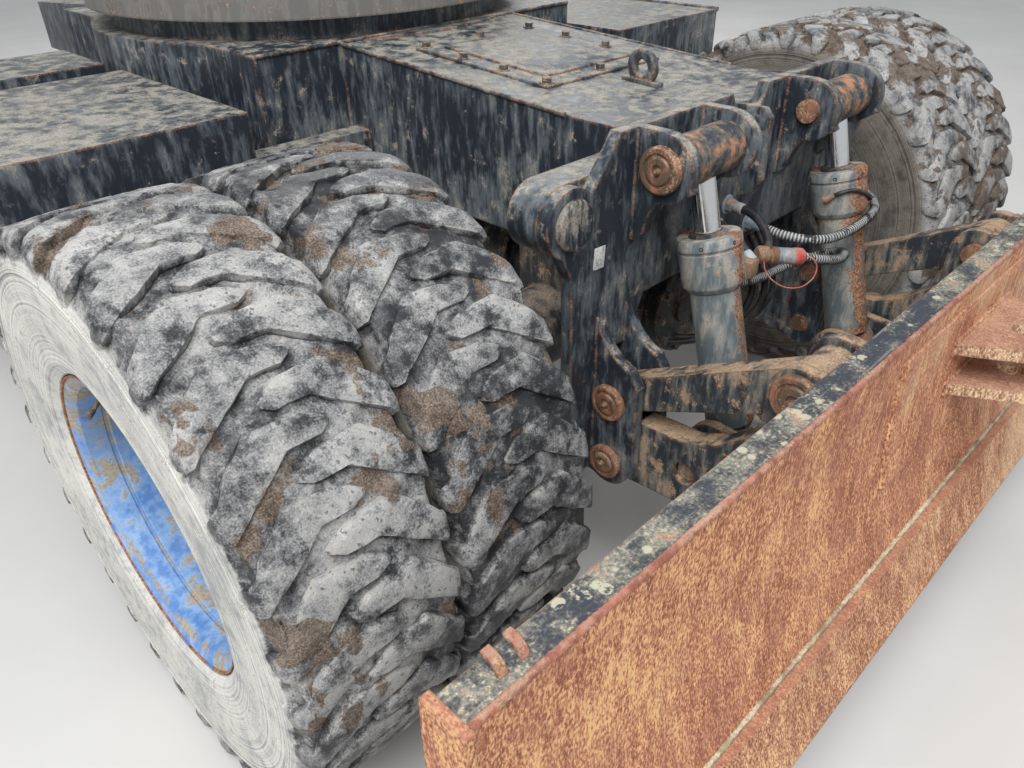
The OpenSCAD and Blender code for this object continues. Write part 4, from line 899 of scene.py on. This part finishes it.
head = [(-104, 47), (-104, 49.5), (-92, 59.8), (-90, 60.5), (-27, 60.5), (-25, 58.5), (-22, 58.5),
        (-20, 61.8), (-4, 61.8), (1, 59), (1, 40), (-3, 36)]
wiper = [(-4, 26), (-4, 37), (1, 37), (5, 33), (7, 28.5), (5, 25.5)]
heads, wipers, holes = [], [], []
for x in (-cylinder_x, cylinder_x):
    foot = spot(x, *low_pin)
    top = foot + rod_way * head_top
    heads.append(turned("head", head, top, rod_way, 56))
    wipers.append(turned("wiper", wiper, top, rod_way, 40))
    sideways = rod_way.cross(Vector((1, 0, 0)))
    for across_x, up in circle_of(6, 1.0, 20):
        out = Vector((across_x, 0, 0)) + sideways * up
        holes.append((top - rod_way * 0.012 + out * 0.0612, out))
belongs(join("cylinder_heads", heads), barrel_paint, "barrels")
hole = turned("hole", [(0, 0), (0, 4.2), (0.8, 4.2), (0.8, 3), (0.2, 0)], steps=14)
wipers.append(copies("spanner_holes", hole, holes))
belongs(join("cylinder_wipers", wipers), wiper_rubber, "barrels")

# Hydraulic hoses run from the bracket's front plate to the cylinders' heads and round to the axle. Two are
# in corrugated sleeves, dusty in the grooves; the others are plain black rubber. A coupling with a red cap
# waits for a tool line. Routes are points beside the blade-end axle, joined by a smooth line.
def smooth_route(corners, step=0.006):
    corners = [spot(*corner) for corner in corners]
    ends = [corners[0] * 2 - corners[1]] + corners + [corners[-1] * 2 - corners[-2]]
    points = []
    for a, b, c, d in zip(ends, ends[1:], ends[2:], ends[3:]):
        count = max(int((c - b).length / step), 1)
        for k in range(count):
            t = k / count
            square, cube = 2 * a - 5 * b + 4 * c - d, 3 * b - 3 * c + d - a
            points.append(0.5 * (2 * b + (c - a) * t + square * t * t + cube * t ** 3))
    return points + [corners[-1]]


def hose_rubber(name, dark, light, dust_share):
    material, tree, shader = new_finish(name, {"Specular IOR Level": 0.4})
    place = add(tree, "TexCoord").outputs["Object"]
    middle = grain(place, 40.0, 6.0, 0.65)
    fine = grain(place, 300.0, 3.0)
    groove = mask(add(tree, "Attribute", attribute_name="groove").outputs["Fac"], 0.42, 0.72)
    share = most(times(groove, mask(middle, 0.38, 0.5)), times(mask(middle, 0.46, 0.6), dust_share))
    colour = blend(share, blend(fine, dark, tuple(min(c * 2.2, 1.0) for c in dark)), light)
    finish_surface(shader, colour, most(share, 0.15), mixed(middle, 0.6, fine, 0.3), 0.0008)
    return material


plain_hose = hose_rubber("hose_rubber", (0.013, 0.013, 0.014), (0.12, 0.11, 0.10), 0.4)
sleeve_finish = hose_rubber("hose_sleeve", (0.016, 0.017, 0.018), (0.50, 0.50, 0.49), 0.15)
red_plastic = painted_plate("red_plastic", (0.50, 0.085, 0.075), (0.60, 0.18, 0.15), (0.34, 0.23, 0.19),
                            -0.1, 0.4, 0.3, 0.002)
zinc = painted_plate("zinc_fittings", (0.22, 0.27, 0.31), (0.42, 0.46, 0.49), (0.32, 0.27, 0.21), 0.04, 0.35,
                     0.2, 0.002)
rusty_fitting = painted_plate("rusty_fittings", (0.20, 0.10, 0.06), (0.30, 0.2, 0.13), (0.34, 0.28, 0.22),
                              0.10, 0.3, 0.2, 0.002)
coupling_at, coupling_way = spot(-104, -414, 748), Vector((86, -59, -16)).normalized()
body_profile = [(-6, 0), (-6, 13), (0, 18), (16, 18), (18, 14.5), (24, 14.5), (26, 17.5), (38, 17.5),
                (40, 14), (40, 0)]
knurl_profile = [(38, 0)]
for reach in [39 + k * 4.5 for k in range(8)]:
    knurl_profile += [(reach, 15.2), (reach + 1.5, 16.8), (reach + 3.5, 16.8)]
knurl_profile += [(75.5, 15.2), (75.5, 0)]
cap_profile = [(74, 0), (74, 16), (76, 17.8), (94, 17.8), (98, 15), (99, 9), (99, 0)]
for name, profile, finish in (("coupling_body", body_profile, rusty_fitting),
                              ("knurled_sleeve", knurl_profile, zinc),
                              ("red_cap", cap_profile, red_plastic)):
    belongs(turned(name, profile, coupling_at, coupling_way, 28), finish, "chassis")

# Each hose has its diameter and the points of its route
hoses = {
    "hose_to_coupling": (0.018, [
        (-37, -312, 803), (-40, -345, 801), (-50, -380, 790), (-66, -408, 770), (-88, -424, 752)]),
    "hose_to_near_head": (0.016, [
        (-112, -300, 792), (-126, -340, 795), (-148, -382, 790), (-166, -418, 776), (-176, -446, 760)]),
    "sleeved_hose_far": (0.022, [
        (58, -303, 735), (56, -340, 734), (58, -385, 731), (76, -428, 728), (112, -457, 727),
        (160, -472, 730), (213, -477, 734), (268, -476, 738), (318, -465, 742), (358, -438, 746),
        (380, -400, 751), (380, -358, 757), (362, -322, 762), (345, -296, 766)]),
    "sleeved_hose_loop": (0.022, [
        (-24, -436, 728), (6, -462, 720), (44, -480, 708), (80, -488, 698), (118, -490, 689),
        (146, -486, 687), (171, -473, 680), (190, -454, 670), (200, -430, 657), (200, -404, 643),
        (190, -380, 630), (171, -361, 620), (146, -348, 613), (118, -344, 611), (70, -341, 613),
        (20, -338, 620), (-34, -331, 633), (-84, -314, 655), (-119, -287, 685), (-134, -262, 712),
        (-139, -240, 744)]),
    "hose_over_far_head": (0.009, [
        (192, -407, 784), (201, -429, 799), (220, -448, 804), (244, -460, 796), (272, -464, 781),
        (296, -458, 767), (313, -444, 759), (322, -429, 755)]),
    "axle_hose_left": (0.016, [
        (70, -232, 742), (72, -262, 705), (72, -302, 650), (64, -326, 590), (40, -326, 536),
        (4, -298, 488), (-36, -250, 456), (-76, -190, 444), (-90, -158, 448)]),
    "axle_hose_middle": (0.016, [
        (100, -232, 742), (104, -268, 700), (108, -312, 640), (100, -338, 575), (78, -334, 520),
        (48, -300, 478), (14, -250, 448), (-20, -196, 436), (-34, -160, 436)]),
    "axle_hose_right": (0.014, [
        (130, -232, 742), (138, -275, 690), (146, -316, 625), (144, -336, 560), (126, -326, 505),
        (102, -290, 466), (84, -240, 444), (72, -190, 438), (66, -160, 440)])}
for name, (diameter, corners) in hoses.items():
    sleeved = name.startswith("sleeved")
    route = smooth_route(corners, 0.0034 if sleeved else 0.006)
    hose = tube(name, [route], diameter / 2, 0.17 if sleeved else 0.0, 3)
    round_count = len(hose.data.vertices) // len(route)
    groove = hose.data.attributes.new("groove", "FLOAT", "POINT")
    for vertex in hose.data.vertices:
        groove.data[vertex.index].value = float(vertex.index // round_count % 2) if sleeved else 0.0
    body = "barrels" if name == "hose_over_far_head" else "chassis"
    belongs(hose, sleeve_finish if sleeved else plain_hose, body)

# Fittings are hexagon adapters where hoses leave the plate, crimped sleeves, and an elbow and a ferrule on
# the cylinders' heads. The coupling's cap hangs on its thin red strap.
crimp = [(0, 0), (0, 11.5), (2, 12.5), (22, 12.5), (24, 10.8), (24, 0)]
forward_ports = [(spot(*port), (0, -1, 0)) for port in ((-37, -290, 803), (-112, -290, 791), (58, -290, 735),
                                                        (345, -290, 767))]
down_ports = [(spot(*port), (0, 0, -1)) for port in ((70, -232, 751), (100, -232, 751), (130, -232, 751),
                                                     (-134, -243, 750))]
adapters = copies("hose_adapters", hex_bolt(0.027, 0.016), forward_ports + down_ports)
crimp_places = [(spot(-37, -306, 803), (-0.05, -1, -0.05)), (spot(-112, -302, 792), (-0.3, -1, 0.05)),
                (spot(58, -304, 735), (0, -1, 0)), (spot(345, -306, 766), (0.5, -0.8, -0.1)),
                (spot(-176, -440, 763), (0.2, 0.8, 0.4))]
crimps = copies("crimps", turned("crimp", crimp, steps=20), crimp_places)
belongs(join("hose_fittings", [adapters, crimps]), zinc, "chassis")
near_way, far_way = Vector((0.905, -0.425, 0)), Vector((0.87, -0.49, 0))
near_port = spot(-cylinder_x, -405, 757) + near_way * 0.058
far_port = spot(cylinder_x, -407, 750) + far_way * 0.046
elbow = block("elbow", near_port + near_way * 0.017, (0.034, 0.034, 0.034), 0.004)
neck = [(0, 0), (0, 17), (6, 17), (8, 13.5), (30, 13.5), (30, 0)]
stub = [(0, 0), (0, 16), (9, 16), (10, 12), (26, 12), (28, 9), (28, 0)]
ferrule = [(-8, 0), (-8, 7.5), (6, 7.5), (12, 5.2), (16, 5.2), (16, 0)]
head_fittings = [elbow, turned("neck", neck, near_port - near_way * 0.002, near_way, 24),
                 turned("stub", stub, far_port, far_way, 24),
                 turned("ferrule", ferrule, spot(191, -405, 782), (0.25, -0.72, 0.55), 16)]
belongs(join("head_fittings", head_fittings), rusty_fitting, "barrels")
strap_route = smooth_route([(-30, -482, 741), (-28, -496, 736), (-30, -506, 722), (-44, -508, 704),
                            (-66, -498, 690), (-90, -478, 690), (-108, -456, 704), (-116, -440, 724),
                            (-114, -432, 742)], 0.004)
strap = tube("red_cap_strap", [strap_route], 0.0016, 0.0, 1)
belongs(strap, red_plastic, "chassis")

# The blade is thick plate with a rolled face. Rust has taken its face and ends; blue-black paint with
# yellowish lichen is left on the top flange, the back and the stiffeners. The cutting edge is bare steel.
face_middle = (-2113.6, 737.9)
face_radius = 1307.7


def blade_finish(name, tones, painted):
    material, tree, shader = new_finish(name, {"Specular IOR Level": 0.25})
    coordinates = add(tree, "TexCoord")
    place = coordinates.outputs["Object"]
    depth = calc("SUBTRACT", span(stretched(place, (0, 1, 1), -spot(0, *face_middle))), face_radius / 1000)
    height = part(place, "Z")
    facing = part(coordinates.outputs["Normal"], "Z")
    broad = grain(place, 3.2, 5.0)
    middle = grain(place, 18.0, 5.0, 0.68)
    fine = grain(place, 190.0, 2.0, 0.7)
    runs = grain(stretched(place, (1, 0.7, 0.42)), 360.0, 2.0, 0.60)
    streaks = grain(stretched(place, (1, 0.6, 0.22), (1.4, 3.1, 0.7)), 75.0, 4.0, 0.65)
    stains = grain(stretched(place, (1, 0.6, 0.45), (2.2, 6.1, 3.3)), 8.0, 6.0, 0.70)
    edge, rounded = worn_edges(tree, 0.004, 0.02, 0.2)
    low, mid, high, dark = tones
    sparkle = mixed(runs, 0.50, streaks, 0.22, stains, 0.28)
    rust = ramp(sparkle, (0.42, low), (0.49, mid), (0.575, high))
    rust = blend(times(mask(mixed(middle, 0.6, broad, 0.4), 0.54, 0.44), 0.38), rust, dark)
    yellow = times(mask(mixed(runs, 0.5, streaks, 0.5), 0.52, 0.60), mask(stains, 0.48, 0.58))
    rust = blend(times(yellow, 0.75), rust, (0.78, 0.50, 0.20))
    across_x = part(place, "X")
    worn_pale = times(mask(mixed(across_x, 0.25, stains, 1.0), 0.42, 0.70), 0.5)
    rust = blend(worn_pale, rust, (0.62, 0.45, 0.31))
    flat_on_top = mask(facing, 0.6, 0.95)
    rust = blend(times(flat_on_top, 0.6), rust, (0.36, 0.165, 0.115))
    pits = add(tree, "TexVoronoi", {"Vector": place, "Scale": 120.0}).outputs["Distance"]
    pit = times(mask(pits, 0.22, 0.10), mask(middle, 0.50, 0.60))
    rust = blend(times(pit, 0.75), rust, (0.09, 0.04, 0.025))
    rust = blend(times(edge, 0.35), rust, (0.60, 0.40, 0.27))
    coat = blend(mask(mixed(broad, 0.3, middle, 0.7), 0.48, 0.56), (0.040, 0.048, 0.062),
                 (0.15, 0.17, 0.185))
    scratch = grain(stretched(place, (0.6, 14, 14)), 9.0, 5.0, 0.6)
    coat = blend(times(mask(scratch, 0.60, 0.66), 0.5), coat, (0.33, 0.31, 0.28))
    upward = mask(facing, 0.2, 0.9)
    dust = times(upward, mask(mixed(middle, 0.5, broad, 0.3, fine, 0.2), 0.42, 0.56))
    dust_tone = ramp(mixed(fine, 0.6, middle, 0.4), (0.40, (0.10, 0.105, 0.095)),
                     (0.5, (0.23, 0.215, 0.165)), (0.60, (0.42, 0.36, 0.25)))
    coat = blend(times(dust, 0.75), coat, dust_tone)
    speck = times(mask(fine, 0.585, 0.64), mask(middle, 0.48, 0.56))
    coat = blend(times(speck, 0.8), coat, (0.52, 0.47, 0.34))
    spots = add(tree, "TexVoronoi", {"Vector": place, "Scale": 42.0})
    growth = times_add(fine, 0.3, spots.outputs["Distance"])
    here = part(spots.outputs["Color"], "X")
    lichen = times(mask(growth, 0.50, 0.46), mask(mixed(here, 0.5, middle, 1.0), 0.84, 0.87))
    coat = blend(times(lichen, 0.85), coat, (0.47, 0.45, 0.33))
    behind = mask(depth, 0.0022, 0.0040) if painted else 0.0
    behind = times(behind, mask(calc("ABSOLUTE", across_x), 1.2555, 1.2545))
    kept = times(mask(mixed(middle, 0.6, fine, 0.25, broad, 0.15), 0.610, 0.580), behind)
    low_back = mask(height, 0.30, 0.42)
    kept = times(kept, times_add(low_back, 0.6, 0.4))
    kept = times(kept, times_add(edge, -0.9, 1.0))
    colour = blend(kept, rust, coat)
    dull = times_add(kept, -0.45, 1.0)
    relief = mixed(runs, 0.2, middle, 0.55, fine, 0.35, pit, -0.5)
    finish_surface(shader, colour, dull, relief, 0.0016, rounded)
    return material


orange_rust = ((0.23, 0.092, 0.056), (0.48, 0.200, 0.108), (0.80, 0.47, 0.25), (0.33, 0.135, 0.10))
pale_rust = ((0.22, 0.115, 0.075), (0.48, 0.29, 0.175), (0.78, 0.62, 0.42), (0.22, 0.13, 0.10))
brown_rust = ((0.22, 0.09, 0.052), (0.48, 0.225, 0.125), (0.80, 0.52, 0.30), (0.25, 0.11, 0.075))
dress("blade", blade_finish("rusted_blade_plate", orange_rust, True))
dress("towing_clevis", blade_finish("rusted_clevis", pale_rust, False))
edge_rust = blade_finish("rusted_cutting_edge", brown_rust, False)
dress("cutting_edge", edge_rust)


# Welds on the blade: round the doubler plate, at the clevis, along the top of the face, inside the end
# plates and over the cutting edge. A point of the face is found from its height and its depth behind it.
def face_point(x, z, depth):
    ring = face_radius + depth
    return spot(x, face_middle[0] + math.sqrt(ring * ring - (z - face_middle[1]) ** 2), z)


def up_face(x, low, high, depth):
    return [face_point(x, low + (high - low) * k / 8, depth) for k in range(9)]


seams = [up_face(-351, 529, 767, -1) + up_face(351, 767, 529, -1)]
for half, z, depth in ((351, 529, -1), (133, 609, -9), (133, 633, -9), (133, 689, -9), (133, 713, -9)):
    seams.append([face_point(-half, z, depth), face_point(half, z, depth)])
weld("blade_welds", seams, edge_rust, 0.0052, "dozer_blade")
seams = [[face_point(-1254, 810.5, 1), face_point(1254, 810.5, 1)]]
for sign in (-1, 1):
    seams.append(up_face(sign * 1253.5, 390, 808, -1))
red_rust = painted_plate("red_rust_weld", (0.24, 0.085, 0.055), (0.42, 0.17, 0.115), (0.48, 0.30, 0.22),
                         0.06, 0.35, 0.3, 0.002, 0.003)
weld("blade_edge_welds", seams, red_rust, 0.0055, "dozer_blade")
lichen_weld = painted_plate("weld_under_lichen", (0.26, 0.20, 0.12), (0.40, 0.33, 0.20), (0.56, 0.50, 0.36),
                            0.03, 0.6, 0.6, 0.002)
edge_seam = [face_point(-1254, 381.5, -1.5), face_point(1254, 381.5, -1.5)]
weld("cutting_edge_weld", [edge_seam], lichen_weld, 0.0055, "dozer_blade")

# Two small hooks of bent flat bar are welded on the top flange near each end, over the tyres.
hook_side = [(-787, 809), (-784, 816), (-777, 821), (-766, 823), (-765, 828), (-778, 827), (-787, 821),
             (-792, 810)]
hooks = []
for x in (-1194, -1166, 1194, 1166):
    hooks.append(outline_object("hook", [spot(x - 6, y, z) for y, z in hook_side]))
    shape(pulled((0.012, 0, 0)), outward, bevelled(0.001, 1))
belongs(smooth(join("blade_hooks", hooks)), red_rust, "dozer_blade")

# Toolbox doors have two turn latches each in round recess plates.
latch_plate = [(0, 0), (0, 34), (3, 34), (5, 31), (5, 26), (2, 24), (2, 11), (12, 10), (14, 8), (14, 0)]
for side, sign in (("left", -1), ("right", 1)):
    low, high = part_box("door_" + side)
    door_face = high.x if sign > 0 else low.x
    latch_parts = []
    for k in (0.22, 0.78):
        centre = Vector((door_face - sign * 0.0165, low.y + (high.y - low.y) * k, low.z + 0.075))
        latch_parts.append(turned("latch_plate", latch_plate, centre, (sign, 0, 0), 32))
        handle_at = centre + Vector((sign * 0.011, 0, 0))
        latch_parts.append(block("handle", handle_at, (0.007, 0.050, 0.013), 0.002))
    belongs(join("door_latches_" + side, latch_parts), zinc, side + "_door")
